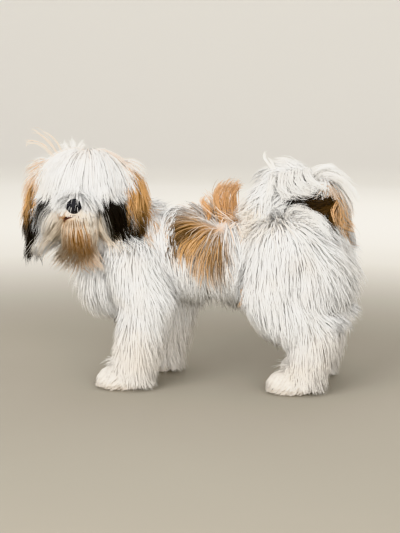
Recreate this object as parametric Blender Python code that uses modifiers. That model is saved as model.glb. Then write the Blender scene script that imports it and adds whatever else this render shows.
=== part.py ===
"""A life-size young shih tzu, standing, with its head turned to its left side and its tail over its back.

Metres, +Z up. The dog faces -X and its left side faces -Y. Each part of the body is its own object: a
core that stands for the flesh with the inner half of its coat, and locks of the outer coat rooted in it.
"""
import math

import bmesh
import bpy
import numpy as np
from mathutils import Matrix, Vector

# Driving dimensions
GAP = 0.0003
WITHERS = 0.193
CHEST_DEPTH = 0.086
CHEST_WIDTH = 0.076
STANCE = 0.044
FORELEG_X = {"left": -0.056, "right": -0.036}
HIND_LEG_X = {"left": 0.108, "right": 0.119}
SIDES = {"left": -1, "right": 1}
PAW = (0.023, 0.0165, 0.0135)

# The head is turned square to the body. Its own axes are forward, side (the dog's left) and up
HEAD_PLACE = Vector((-0.112, -0.030, 0.2240))
HEAD_YAW = math.radians(0)
HEAD_PITCH = math.radians(-4)
SKULL = (0.044, 0.043, 0.040)
MUZZLE = (0.021, 0.0215, 0.016)
EYE_RADIUS = 0.0088
EYE_PLACE = (0.0335, 0.0205, -0.003)
EYE_AXIS = (0.87, 0.48, 0.08)
LID = {"reach": 0.0052, "ring": 0.0080, "thick": 0.0019, "squash": 0.84, "around": 12, "sides": 5}
NOSE_PLACE = (0.0655, 0.0, -0.0105)
NOSE_SIZE = (0.0062, 0.0082, 0.0064)
NOSTRIL = {"place": (0.0055, 0.0038, -0.0004), "size": (0.0032, 0.0013, 0.0018)}
MOUTH = {"middle": -0.0215, "drop": 0.011, "turn": math.radians(62), "groove": 0.0010, "lip": 0.0024}
MUZZLE_MIDDLE = 0.040
MUZZLE_REACH = 0.045
EAR_ROOT = (-0.004, 0.046, 0.010)
EAR_FAN = 0.030
EAR_CUP = {"centre": (0.000, 0.0465, -0.014), "size": (0.012, 0.0040, 0.017)}

# The tail rises from the croup and curls forward over the back
TAIL_ARCH = (
    (Vector((0.128, 0.000, 0.178)), 0.0110),
    (Vector((0.147, -0.003, 0.202)), 0.0095),
    (Vector((0.141, -0.007, 0.222)), 0.0085),
    (Vector((0.118, -0.012, 0.229)), 0.0075),
    (Vector((0.095, -0.017, 0.220)), 0.0065),
    (Vector((0.080, -0.022, 0.204)), 0.0050),
)

# The coat of each kind of part: how far the core and the locks' tips stand off the flesh, then the
# locks' length, width and spacing
COAT = {
    "head": {"core": 0.0020, "depth": 0.015, "length": 0.042, "width": 0.0150, "spacing": 0.0168},
    "ear": {"core": 0.0012, "depth": 0.012, "length": 0.038, "width": 0.0150, "spacing": 0.0160},
    "neck": {"core": 0.0080, "depth": 0.021, "length": 0.040, "width": 0.0225, "spacing": 0.0270},
    "torso": {"core": 0.0085, "depth": 0.022, "length": 0.048, "width": 0.0285, "spacing": 0.0310},
    "foreleg": {"core": 0.0060, "depth": 0.016, "length": 0.038, "width": 0.0225, "spacing": 0.0245},
    "forepaw": {"core": 0.0030, "depth": 0.008, "length": 0.019, "width": 0.0145, "spacing": 0.0165},
    "thigh": {"core": 0.0090, "depth": 0.024, "length": 0.046, "width": 0.0270, "spacing": 0.0285},
    "hind_leg": {"core": 0.0055, "depth": 0.015, "length": 0.036, "width": 0.0215, "spacing": 0.0235},
    "hind_paw": {"core": 0.0030, "depth": 0.008, "length": 0.019, "width": 0.0145, "spacing": 0.0165},
    "tail": {"core": 0.0050, "depth": 0.026, "length": 0.052, "width": 0.0230, "spacing": 0.0150},
}
LOCK_SINK = 0.0035
ROOT_CLEAR = {"before": 0.0070, "after": 0.0040}
FRINGE_SPREAD = 0.80
LOCK_STEPS = 3
LOCK_WIDTHS = (0.60, 1.00, 0.72)
LOCK_THICKNESS = 0.16
LOWEST_HAIR = 0.0012
SOLE_HEIGHT = 0.007
BARE = {"eye": 0.0125, "lips": 0.0035, "ear": 0.004, "under_ear": 0.030, "ear_front": 0.022}
TOPKNOT = (
    ((0.010, -0.020, 0.036), (-0.10, -0.75, 0.62), 0.030),
    ((0.004, -0.024, 0.034), (0.05, -0.88, 0.40), 0.034),
    ((0.012, -0.003, 0.040), (0.10, -0.10, 0.95), 0.020),
    ((0.006, 0.003, 0.040), (-0.15, 0.20, 0.90), 0.018),
)
SEED = 7
VOXEL = 0.0028
STEP_AROUND = 0.0005
FACE_CLEAR = 0.001
FLOOR_SLAB = (1.0, 1.0, 0.2)


def clear_scene():
    for old in list(bpy.data.objects):
        bpy.data.objects.remove(old)


def collection(name):
    made = bpy.data.collections.new(name)
    bpy.context.scene.collection.children.link(made)
    return made


def material(name, colour, roughness):
    made = bpy.data.materials.new(name)
    made.use_nodes = True
    shader = made.node_tree.nodes["Principled BSDF"]
    shader.inputs["Base Color"].default_value = (*colour, 1.0)
    shader.inputs["Roughness"].default_value = roughness
    shader.inputs["Metallic"].default_value = 0.0
    return made


# Places on the body

def head_axes():
    """The head's forward, side and up axes as the columns of a matrix."""
    level = Vector((math.sin(HEAD_YAW), -math.cos(HEAD_YAW), 0.0))
    side = Vector((0.0, 0.0, 1.0)).cross(level)
    forward = Matrix.Rotation(-HEAD_PITCH, 3, side) @ level
    return Matrix((forward, side, forward.cross(side))).transposed()


def on_head(forward, side, up):
    return HEAD_PLACE + head_axes() @ Vector((forward, side, up))


def torso_front_forms():
    middle = WITHERS - CHEST_DEPTH / 2
    return [
        ("ball", Vector((-0.054, 0.0, middle)), (0.047, CHEST_WIDTH / 2, CHEST_DEPTH / 2)),
        ("ball", Vector((-0.084, 0.0, middle - 0.020)), (0.030, 0.033, 0.038)),
        ("ball", Vector((-0.004, 0.0, middle + 0.003)), (0.052, 0.037, 0.039)),
    ]


def torso_rear_forms():
    return [
        ("ball", Vector((0.045, 0.0, 0.150)), (0.052, 0.034, 0.036)),
        ("ball", Vector((0.104, 0.0, 0.152)), (0.048, 0.038, 0.039)),
    ]


def neck_forms():
    return [
        ("bone", Vector((-0.078, -0.004, 0.166)), on_head(-0.012, 0.0, -0.014), 0.034, 0.031),
    ]


def head_forms():
    axes = head_axes()
    forms = [
        ("ball", on_head(0.0, 0.0, 0.0), SKULL, axes),
        ("ball", on_head(0.043, 0.0, -0.019), MUZZLE, axes),
        ("ball", on_head(0.036, 0.0, -0.033), (0.021, 0.016, 0.011), axes),
    ]
    for side in (1, -1):
        forms.append(("ball", on_head(0.018, side * 0.022, -0.020), (0.024, 0.021, 0.022), axes))
    return forms


def ear_forms(label):
    """The hanging flap of one ear, widest at its middle."""
    axes = head_axes()
    side = -SIDES[label]
    forward, out, up = EAR_ROOT
    return [
        ("ball", on_head(forward, side * out, up), (0.012, 0.0070, 0.012), axes),
        ("ball", on_head(forward + 0.002, side * (out + 0.0075), up - 0.022), (0.018, 0.0060, 0.022), axes),
        ("ball", on_head(forward + 0.003, side * (out + 0.0105), up - 0.042), (0.016, 0.0050, 0.017), axes),
    ]


def foreleg_forms(label):
    x, y = FORELEG_X[label], SIDES[label] * STANCE
    elbow = Vector((x + 0.012, y * 0.9, 0.096))
    return [
        ("bone", Vector((x - 0.002, y * 0.72, 0.138)), elbow, 0.026, 0.019),
        ("bone", elbow, Vector((x, y, 0.040)), 0.018, 0.0135),
    ]


def forepaw_forms(label):
    x, y = FORELEG_X[label], SIDES[label] * STANCE
    return [
        ("bone", Vector((x, y, 0.040)), Vector((x - 0.006, y, 0.016)), 0.0135, 0.013),
        ("ball", Vector((x - 0.016, y, 0.012)), PAW),
    ]


def thigh_forms(label):
    x, y = HIND_LEG_X[label], SIDES[label] * STANCE
    return [
        ("bone", Vector((x, y * 0.66, 0.150)), Vector((x - 0.012, y * 0.9, 0.108)), 0.035, 0.023),
        ("ball", Vector((x + 0.018, y * 0.74, 0.124)), (0.031, 0.024, 0.040)),
    ]


def hind_leg_forms(label):
    x, y = HIND_LEG_X[label], SIDES[label] * STANCE
    hock = Vector((x + 0.034, y, 0.062))
    return [
        ("bone", Vector((x - 0.010, y * 0.95, 0.100)), hock, 0.019, 0.0135),
        ("bone", hock, Vector((x + 0.026, y, 0.034)), 0.0135, 0.0125),
    ]


def hind_paw_forms(label):
    x, y = HIND_LEG_X[label], SIDES[label] * STANCE
    return [
        ("bone", Vector((x + 0.026, y, 0.034)), Vector((x + 0.020, y, 0.016)), 0.0125, 0.012),
        ("ball", Vector((x + 0.009, y, 0.012)), PAW),
    ]


def tail_forms(first, last):
    joints = TAIL_ARCH[first : last + 1]
    return [("bone", a, b, ra, rb) for (a, ra), (b, rb) in zip(joints[:-1], joints[1:])]


def all_forms():
    """Every part of the body as its kind of coat and its forms, by name."""
    parts = {
        "head": ("head", head_forms()),
        "neck": ("neck", neck_forms()),
        "torso_front": ("torso", torso_front_forms()),
        "torso_rear": ("torso", torso_rear_forms()),
        "tail_root": ("tail", tail_forms(0, 2)),
        "tail_tip": ("tail", tail_forms(2, 5)),
    }
    for label in SIDES:
        parts["ear_" + label] = ("ear", ear_forms(label))
        parts["foreleg_" + label] = ("foreleg", foreleg_forms(label))
        parts["forepaw_" + label] = ("forepaw", forepaw_forms(label))
        parts["thigh_" + label] = ("thigh", thigh_forms(label))
        parts["hind_leg_" + label] = ("hind_leg", hind_leg_forms(label))
        parts["hind_paw_" + label] = ("hind_paw", hind_paw_forms(label))
    return parts


PARTS = all_forms()


# Distances from the body, for many points at once

def form_distance(points, form, grow):
    if form[0] == "ball":
        axes = np.array(form[3]) if len(form) > 3 else np.eye(3)
        local = (points - np.array(form[1])) @ axes
        radii = np.array(form[2]) + grow
        near = np.linalg.norm(local / radii, axis=1)
        slope = np.linalg.norm(local / radii**2, axis=1)
        return near * (near - 1.0) / np.maximum(slope, 1e-9)
    start, end = np.array(form[1]), np.array(form[2])
    along = end - start
    share = np.clip((points - start) @ along / (along @ along), 0.0, 1.0)
    radius = form[3] + share * (form[4] - form[3]) + grow
    return np.linalg.norm(points - start - share[:, None] * along, axis=1) - radius


def part_distance(points, name):
    kind, forms = PARTS[name]
    return np.min([form_distance(points, form, COAT[kind]["core"]) for form in forms], axis=0)


def core_distance(points):
    """How far points are outside the cores of all the parts, and outside the eyes and the nose."""
    near = [part_distance(points, name) for name in PARTS]
    face = [("ball", on_head(*NOSE_PLACE), NOSE_SIZE, head_axes())]
    forward, side, up = EYE_PLACE
    for sign in (1, -1):
        face.append(("ball", on_head(forward, sign * side, up), (EYE_RADIUS,) * 3, head_axes()))
    return np.min(near + [form_distance(points, form, FACE_CLEAR) for form in face], axis=0)


def outward(points):
    """The direction straight out of the body at each point."""
    slopes = []
    for axis in np.eye(3) * STEP_AROUND:
        slopes.append(core_distance(points + axis) - core_distance(points - axis))
    return unit(np.stack(slopes, axis=1))


def unit(vectors):
    return vectors / np.maximum(np.linalg.norm(vectors, axis=-1, keepdims=True), 1e-9)


def rise(values, low, high):
    """0 below low, 1 above high, and smooth between."""
    share = np.clip((values - low) / (high - low), 0.0, 1.0)
    return share * share * (3.0 - 2.0 * share)


# The lie of the coat

def in_head(points):
    return (points - np.array(HEAD_PLACE)) @ np.array(head_axes())


def head_lie(points):
    """From the crown down all round, and on the muzzle out from the nose and down."""
    local = in_head(points)
    forward, side, up = local.T
    falls = np.stack([forward + 0.006, side, np.zeros_like(up)], axis=1)
    falls = unit(falls) * (0.35 + rise(up, 0.0, 0.03)[:, None])
    falls[:, 2] -= 0.9
    whiskers = np.stack([0.25 + 0 * side, side / 0.016, -0.9 - rise(-up, 0.01, 0.03)], axis=1)
    face = rise(forward, 0.028, 0.042) * rise(-up, 0.000, 0.010)
    mixed = unit(falls) * (1 - face[:, None]) + unit(whiskers) * face[:, None]
    return mixed @ np.array(head_axes()).T


def tail_lie(points):
    """Along the tail towards its tip and away from it to both sides, and drooping."""
    starts = np.array([a for a, _ in TAIL_ARCH[:-1]])
    ends = np.array([b for b, _ in TAIL_ARCH[1:]])
    middles = (starts + ends) / 2
    nearest = np.argmin(np.linalg.norm(points[:, None] - middles[None], axis=2), axis=1)
    away = unit(points - middles[nearest])
    return unit((ends - starts)[nearest]) * 0.55 + away * 0.35 + np.array((0.0, 0.0, -0.50))


def lie(kind, points, normals):
    """The way the coat falls at each point, before it is laid along the surface."""
    x, y, _ = points.T
    side = np.clip(y / 0.02, -1.0, 1.0)
    behind = rise(normals[:, 0], 0.2, 0.8)
    ones = np.ones_like(x)
    if kind == "head":
        return head_lie(points)
    if kind == "tail":
        return tail_lie(points)
    if kind == "ear":
        forward, out, _ = in_head(points).T
        fan = np.stack([(forward - EAR_ROOT[0]) / EAR_FAN, np.sign(out) * 0.30, -ones], axis=1)
        return fan @ np.array(head_axes()).T
    if kind in ("forepaw", "hind_paw"):
        return np.stack([-0.8 * ones, 0.5 * normals[:, 1], -0.45 * ones], axis=1)
    if kind in ("foreleg", "hind_leg"):
        return np.stack([0.12 + 0.35 * behind, 0.15 * normals[:, 1], -ones], axis=1)
    if kind == "neck":
        return np.stack([0.35 * ones, 0.5 * side, -ones], axis=1)
    if kind == "thigh":
        return np.stack([0.18 + 0.45 * behind, 0.2 * side, -ones], axis=1)
    top = rise(normals[:, 2], 0.3, 0.9)
    return np.stack([0.25 + 0.5 * behind, side * (0.15 + 0.9 * top), -ones], axis=1)


def coat_at(kind, points, normals):
    """The length of the locks and how far their tips stand off the core."""
    length = np.full(len(points), COAT[kind]["length"])
    height = np.full(len(points), COAT[kind]["depth"] - COAT[kind]["core"])
    if kind == "head":
        forward, _, up = in_head(points).T
        bridge = rise(forward, 0.036, 0.046) * rise(up, -0.030, -0.016) * (1 - rise(up, 0.004, 0.012))
        length *= 1 - 0.6 * bridge
        height *= 1 - 0.55 * bridge
        beard = rise(-up, 0.024, 0.034) * rise(forward, 0.0, 0.02)
        length *= 1 + 0.30 * beard + 0.25 * fringe_share(kind, points)
        height *= 1 + 0.25 * rise(-up, 0.0, 0.02) * (1 - bridge)
    if kind == "torso":
        height *= 1 + 0.45 * rise(-normals[:, 0], 0.3, 0.9)
        length *= 1 - 0.22 * rise(-normals[:, 2], 0.1, 0.6)
    if kind == "thigh":
        height *= 1 + 0.55 * rise(normals[:, 0], 0.2, 0.9) - 0.3 * rise(-normals[:, 0], 0.2, 0.9)
    if kind in ("foreleg", "hind_leg"):
        height *= 1 + 0.35 * rise(normals[:, 0], 0.2, 0.9)
    return length, height


# Mesh pieces

def ball(mesh, centre, radii, axes=None, grow=0.0, segments=20):
    """Adds an ellipsoid to a bmesh."""
    size = Matrix.Diagonal((radii[0] + grow, radii[1] + grow, radii[2] + grow, 1.0))
    turn = axes.to_4x4() if axes else Matrix.Identity(4)
    bmesh.ops.create_uvsphere(
        mesh,
        u_segments=segments,
        v_segments=segments // 2,
        radius=1.0,
        matrix=Matrix.Translation(centre) @ turn @ size,
    )


def bone(mesh, start, end, start_radius, end_radius, grow=0.0):
    """Adds a limb that tapers from one point to another and is round at both ends."""
    along = end - start
    turn = along.to_track_quat("Z", "Y").to_matrix().to_4x4()
    bmesh.ops.create_cone(
        mesh,
        segments=20,
        cap_ends=True,
        radius1=start_radius + grow,
        radius2=end_radius + grow,
        depth=along.length,
        matrix=Matrix.Translation((start + end) / 2) @ turn,
    )
    for centre, radius in ((start, start_radius), (end, end_radius)):
        ball(mesh, centre, (radius,) * 3, None, grow)


def add_forms(mesh, forms, grow):
    for form in forms:
        if form[0] == "ball":
            ball(mesh, form[1], form[2], form[3] if len(form) > 3 else None, grow)
        else:
            bone(mesh, *form[1:], grow=grow)


def object_from(mesh, name, group):
    data = bpy.data.meshes.new(name)
    mesh.to_mesh(data)
    mesh.free()
    made = bpy.data.objects.new(name, data)
    group.objects.link(made)
    return made


def loose_object(mesh, name):
    """An object that is in no collection yet, for use in a Boolean."""
    data = bpy.data.meshes.new(name)
    mesh.to_mesh(data)
    mesh.free()
    return bpy.data.objects.new(name, data)


def bake(obj):
    """Replaces an object's mesh by its evaluated one and drops its modifiers."""
    bpy.context.view_layer.update()
    evaluated = obj.evaluated_get(bpy.context.evaluated_depsgraph_get())
    data = bpy.data.meshes.new_from_object(evaluated)
    obj.modifiers.clear()
    obj.data = data


def paint(obj, look):
    obj.data.materials.clear()
    obj.data.materials.append(look)


def triangle_count(data):
    return sum(len(face.vertices) - 2 for face in data.polygons)


def flesh(name, forms, grow, triangles, group, smooth=6):
    """One smooth closed body over all of the forms, with about the number of triangles asked for."""
    mesh = bmesh.new()
    add_forms(mesh, forms, grow)
    made = object_from(mesh, name, group)
    fuse = made.modifiers.new("fuse", "REMESH")
    fuse.mode = "VOXEL"
    fuse.voxel_size = VOXEL
    soften = made.modifiers.new("soften", "SMOOTH")
    soften.factor = 0.5
    soften.iterations = smooth
    bake(made)
    thin = made.modifiers.new("thin", "DECIMATE")
    thin.ratio = min(1.0, triangles / triangle_count(made.data))
    bake(made)
    return made


def combine(obj, others, operation):
    """Joins or cuts an object by others, which are then removed.

    The solver is MANIFOLD, because EXACT leaves loose scraps where many locks cross.
    """
    tools = collection("tools")
    for other in others:
        tools.objects.link(other)
    step = obj.modifiers.new(operation.lower(), "BOOLEAN")
    step.operation = operation
    step.operand_type = "COLLECTION"
    step.collection = tools
    step.solver = "MANIFOLD"
    bake(obj)
    for other in others:
        bpy.data.objects.remove(other)
    bpy.data.collections.remove(tools)


def grown(obj):
    """A copy of a solid's mesh that stands proud of it by the gap between touching pieces."""
    made = bpy.data.objects.new("grown", obj.data.copy())
    bpy.context.scene.collection.objects.link(made)
    swell = made.modifiers.new("swell", "DISPLACE")
    swell.strength = GAP
    swell.mid_level = 0.0
    bake(made)
    data = made.data
    bpy.data.objects.remove(made)
    return data


def keep_largest(obj):
    """Drops every closed surface of a solid but its largest."""
    mesh = bmesh.new()
    mesh.from_mesh(obj.data)
    bmesh.ops.triangulate(mesh, faces=mesh.faces)
    left = set(mesh.verts)
    islands = []
    while left:
        found, front = set(), [next(iter(left))]
        while front:
            vertex = front.pop()
            if vertex in found:
                continue
            found.add(vertex)
            front += [edge.other_vert(vertex) for edge in vertex.link_edges]
        left -= found
        islands.append(found)
    islands.sort(key=len, reverse=True)
    for island in islands[1:]:
        bmesh.ops.delete(mesh, geom=list(island), context="VERTS")
    mesh.to_mesh(obj.data)
    mesh.free()


def cut_clear(obj, cutters):
    """Cuts a solid back from the grown cores and locks of its neighbours."""
    combine(obj, [bpy.data.objects.new("cutter", data) for data in cutters], "DIFFERENCE")
    keep_largest(obj)


# Locks of hair

def root_places(obj, name, before, rng):
    """Points spread evenly over the part of a core that no neighbour covers, with their normals.

    They keep further from the parts made before it, whose own locks hang over its edge.
    """
    kind = PARTS[name][0]
    data = obj.data
    data.calc_loop_triangles()
    corners = np.array([[data.vertices[i].co[:] for i in tri.vertices] for tri in data.loop_triangles])
    edges = np.cross(corners[:, 1] - corners[:, 0], corners[:, 2] - corners[:, 0])
    areas = np.linalg.norm(edges, axis=1)
    spacing = COAT[kind]["spacing"]
    tries = int(60 * areas.sum() / 2 / spacing**2) + 200
    chosen = rng.choice(len(areas), size=tries, p=areas / areas.sum())
    a, b = rng.random((2, tries, 1))
    fold = a + b > 1
    a, b = np.where(fold, 1 - a, a), np.where(fold, 1 - b, b)
    tri = corners[chosen]
    points = tri[:, 0] + a * (tri[:, 1] - tri[:, 0]) + b * (tri[:, 2] - tri[:, 0])
    free = points[:, 2] > SOLE_HEIGHT
    for other in PARTS:
        if other != name:
            clear = ROOT_CLEAR["before" if other in before else "after"]
            free &= part_distance(points, other) > clear
    free &= ~on_bare_skin(kind, points)
    points = points[free]
    apart = spacing * (1 - (1 - FRINGE_SPREAD) * fringe_share(kind, points))
    kept = []
    for point, clear in zip(points, apart):
        if not kept or np.min(np.linalg.norm(np.array(kept) - point, axis=1)) > clear:
            kept.append(point)
    kept = np.array(kept)
    return kept, outward(kept)


def fringe_share(kind, points):
    """1 on the forehead, whose long hair falls over the eyes, and 0 elsewhere."""
    if kind != "head":
        return np.zeros(len(points))
    forward, _, up = in_head(points).T
    return rise(up, 0.004, 0.016) * rise(forward, -0.010, 0.015)


def on_bare_skin(kind, points):
    """The eyes, the nose, the mouth and the ears' insides carry no locks."""
    if kind == "ear":
        inside = in_head(points)
        return np.abs(inside[:, 1]) < EAR_ROOT[1] + BARE["ear"]
    if kind != "head":
        return np.zeros(len(points), bool)
    local = in_head(points)
    forward, side, up = EYE_PLACE
    bare = np.linalg.norm(local - np.array(NOSE_PLACE), axis=1) < BARE["eye"]
    for sign in (1, -1):
        bare |= np.linalg.norm(local - np.array((forward, sign * side, up)), axis=1) < BARE["eye"]
    mouth_height = MOUTH["middle"] - MOUTH["drop"] * np.abs(local[:, 1]) / MUZZLE[1]
    bare |= (local[:, 0] > MUZZLE_MIDDLE) & (np.abs(local[:, 2] - mouth_height) < BARE["lips"])
    ahead, across, up = local.T
    return bare | ((np.abs(across) > BARE["under_ear"]) & (up < EAR_ROOT[2]) & (ahead < BARE["ear_front"]))


def lock_paths(points, normals, kind, rng):
    """Where each lock runs: out of its root, along the lie of the coat and down, clear of the body."""
    count = len(points)
    length, height = coat_at(kind, points, normals)
    length = length * rng.uniform(0.88, 1.12, count)
    step = (length / LOCK_STEPS)[:, None]
    lift = 0.9 if kind == "tail" else 0.45
    sway = rng.normal(0.0, 0.10, (count, 3))
    path = [points - normals * LOCK_SINK]
    here = points
    heading = None
    for number in range(1, LOCK_STEPS + 1):
        out = outward(here)
        falls = unit(lie(kind, here, out) + sway)
        falls = unit(falls - 0.85 * np.sum(falls * out, axis=1, keepdims=True) * out)
        if heading is None:
            heading = unit(falls + lift * out)
        else:
            heading = unit(heading * 0.5 + falls * 0.6 + np.array((0.0, 0.0, -0.18)))
        there = here + heading * step
        wanted = height * (number / LOCK_STEPS) ** 0.9
        off = wanted - core_distance(there)
        hangs = rise(-out[:, 2], -0.2, 0.5)
        pull = 0.1 if kind == "tail" else 0.55 * (1 - hangs)
        there = there + outward(there) * np.where(off > 0, off, off * pull)[:, None]
        there[:, 2] = np.maximum(there[:, 2], LOWEST_HAIR * 2.5)
        heading = unit(there - here)
        path.append(there)
        here = there
    return np.stack(path, axis=1)


def lock(name, path, width):
    """One flat tapered lock with a ridge on its outer side, closed at its root and ending in a point."""
    out = outward(path)
    across = np.cross(path[2] - path[0], out[1])
    mesh = bmesh.new()
    rings = []
    for i, share in enumerate(LOCK_WIDTHS):
        heading = unit(path[i + 1] - path[max(i - 1, 0)])
        across = unit(across - (across @ heading) * heading)
        ridge = np.cross(across, heading) * width * LOCK_THICKNESS * share
        edge = across * width * share / 2
        corners = [path[i] - edge - ridge * 0.3, path[i] + edge - ridge * 0.3, path[i] + ridge]
        for corner in corners:
            corner[2] = max(corner[2], LOWEST_HAIR)
        rings.append([mesh.verts.new(corner) for corner in corners])
    tip = mesh.verts.new(path[-1])
    for low, high in zip(rings[:-1], rings[1:]):
        for k in range(3):
            mesh.faces.new((low[k], low[k - 2], high[k - 2], high[k]))
    for k in range(3):
        mesh.faces.new((rings[-1][k], rings[-1][k - 2], tip))
    mesh.faces.new(rings[0])
    bmesh.ops.triangulate(mesh, faces=mesh.faces)
    bmesh.ops.recalc_face_normals(mesh, faces=mesh.faces)
    return loose_object(mesh, name)


def topknot_locks():
    """The few long hairs that stand up from the crown."""
    made = []
    for place, way, length in TOPKNOT:
        root = np.array(on_head(*place))
        heading = np.array(head_axes() @ Vector(way).normalized())
        steps = [root + heading * length * share for share in (0.0, 0.35, 0.7, 1.0)]
        droop = np.array((0.0, 0.0, -0.004))
        path = np.array([point + droop * share**2 for point, share in zip(steps, (0, 0.35, 0.7, 1.0))])
        made.append(lock("topknot", path, 0.0055))
    return made


def add_locks(obj, name, before, rng):
    """Roots a part's locks in its core. It returns the grown meshes of both, which cut its neighbours."""
    kind = PARTS[name][0]
    points, normals = root_places(obj, name, before, rng)
    paths = lock_paths(points, normals, kind, rng)
    widths = COAT[kind]["width"] * rng.uniform(0.85, 1.15, len(points))
    locks = [lock("lock", path, width) for path, width in zip(paths, widths)]
    if name == "head":
        locks += topknot_locks()
    cutters = [grown(piece) for piece in [obj] + locks]
    combine(obj, locks, "UNION")
    keep_largest(obj)
    return cutters


# The face

def eye(name, side, group):
    mesh = bmesh.new()
    forward, out, up = EYE_PLACE
    ball(mesh, on_head(forward, side * out, up), (EYE_RADIUS,) * 3, head_axes(), segments=16)
    return object_from(mesh, name, group)


def nose(group):
    """The nose leather with its two nostrils."""
    forms = [("ball", on_head(*NOSE_PLACE), NOSE_SIZE, head_axes())]
    made = flesh("nose", forms, 0.0, 400, group, smooth=1)
    mesh = bmesh.new()
    for side in (1, -1):
        forward, out, up = (a + b for a, b in zip(NOSE_PLACE, NOSTRIL["place"]))
        ball(mesh, on_head(forward, side * out, up), NOSTRIL["size"], head_axes(), segments=8)
    combine(made, [loose_object(mesh, "nostrils")], "DIFFERENCE")
    keep_largest(made)
    return made


def lids(side):
    """The rim of the lids round one eye."""
    forward, out, up = EYE_PLACE
    way = head_axes() @ Vector((EYE_AXIS[0], side * EYE_AXIS[1], EYE_AXIS[2])).normalized()
    centre = on_head(forward, side * out, up) + way * LID["reach"]
    turns = np.linspace(0, math.tau, LID["around"] + 1)[:-1]
    ring = [(LID["ring"] * math.cos(a), LID["ring"] * math.sin(a)) for a in turns]
    turn = way.to_track_quat("Z", "Y").to_matrix().to_4x4()
    sides = LID["sides"]
    mesh = bmesh.new()
    loops = []
    for x, y in ring:
        outwards = Vector((x, y, 0.0)).normalized()
        loop = []
        for k in range(sides):
            angle = math.tau * k / sides
            shape = outwards * math.cos(angle) + Vector((0, 0, 1)) * math.sin(angle)
            place = Vector((x, y, 0.0)) + shape * LID["thick"]
            loop.append(mesh.verts.new(Vector((place.x, place.y * LID["squash"], place.z))))
        loops.append(loop)
    for a, b in zip(loops, loops[1:] + loops[:1]):
        for k in range(sides):
            mesh.faces.new((a[k - 1], b[k - 1], b[k], a[k]))
    bmesh.ops.recalc_face_normals(mesh, faces=mesh.faces)
    bmesh.ops.transform(mesh, matrix=Matrix.Translation(centre) @ turn, verts=mesh.verts)
    return loose_object(mesh, "lids")


def mouth_line():
    """Points along the meeting of the lips, on the surface of the muzzle."""
    line = []
    for share in np.linspace(-1.0, 1.0, 9):
        angle = MOUTH["turn"] * share
        height = MOUTH["middle"] - MOUTH["drop"] * abs(share) ** 1.5
        start = Vector((MUZZLE_MIDDLE, 0.0, height))
        way = Vector((math.cos(angle), math.sin(angle), 0.0))
        places = np.array([on_head(*(start + way * r)) for r in np.linspace(0.0, MUZZLE_REACH, 91)])
        inside = np.nonzero(part_distance(places, "head") < 0.0)[0]
        line.append(Vector(places[inside[-1]]))
    return line


def tube(points, radius, name):
    """A closed round tube along a few points."""
    curve = bpy.data.curves.new(name, "CURVE")
    curve.dimensions = "3D"
    curve.bevel_depth = radius
    curve.bevel_resolution = 1
    curve.use_fill_caps = True
    spline = curve.splines.new("POLY")
    spline.points.add(len(points) - 1)
    for place, point in zip(points, spline.points):
        point.co = (*place, 1.0)
    drawn = bpy.data.objects.new(name, curve)
    bpy.context.scene.collection.objects.link(drawn)
    bpy.context.view_layer.update()
    data = bpy.data.meshes.new_from_object(drawn.evaluated_get(bpy.context.evaluated_depsgraph_get()))
    bpy.data.objects.remove(drawn)
    mesh = bmesh.new()
    mesh.from_mesh(data)
    bmesh.ops.remove_doubles(mesh, verts=mesh.verts, dist=0.00001)
    bmesh.ops.recalc_face_normals(mesh, faces=mesh.faces)
    return loose_object(mesh, name)


def carve_face(head):
    """Gives the head its lids and lips and the line of its mouth."""
    line = mouth_line()
    combine(head, [lids(1), lids(-1), tube(line, MOUTH["lip"], "lips")], "UNION")
    forward = head_axes().col[0]
    ahead = [point + forward * MOUTH["lip"] for point in line]
    combine(head, [tube(ahead, MOUTH["groove"], "mouth")], "DIFFERENCE")


def ear_cup(obj, label):
    """Hollows the inner side of an ear."""
    forward, out, up = EAR_CUP["centre"]
    mesh = bmesh.new()
    ball(mesh, on_head(forward, -SIDES[label] * out, up), EAR_CUP["size"], head_axes(), segments=12)
    combine(obj, [loose_object(mesh, "cup")], "DIFFERENCE")
    keep_largest(obj)


def flatten_foot(obj):
    """Cuts a paw off level at the floor, so that it stands on a small flat."""
    mesh = bmesh.new()
    slab = Matrix.Translation((0.0, 0.0, -FLOOR_SLAB[2] / 2)) @ Matrix.Diagonal((*FLOOR_SLAB, 1.0))
    bmesh.ops.create_cube(mesh, size=1.0, matrix=slab)
    combine(obj, [loose_object(mesh, "floor")], "DIFFERENCE")
    keep_largest(obj)


def centre_on_floor(objects):
    """Moves the whole dog so that the middle of its footprint is the origin."""
    corners = np.array([v.co for obj in objects for v in obj.data.vertices])
    middle = (corners.min(axis=0) + corners.max(axis=0)) / 2
    shift = Matrix.Translation((-middle[0], -middle[1], 0.0))
    for obj in objects:
        obj.data.transform(shift)


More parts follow.
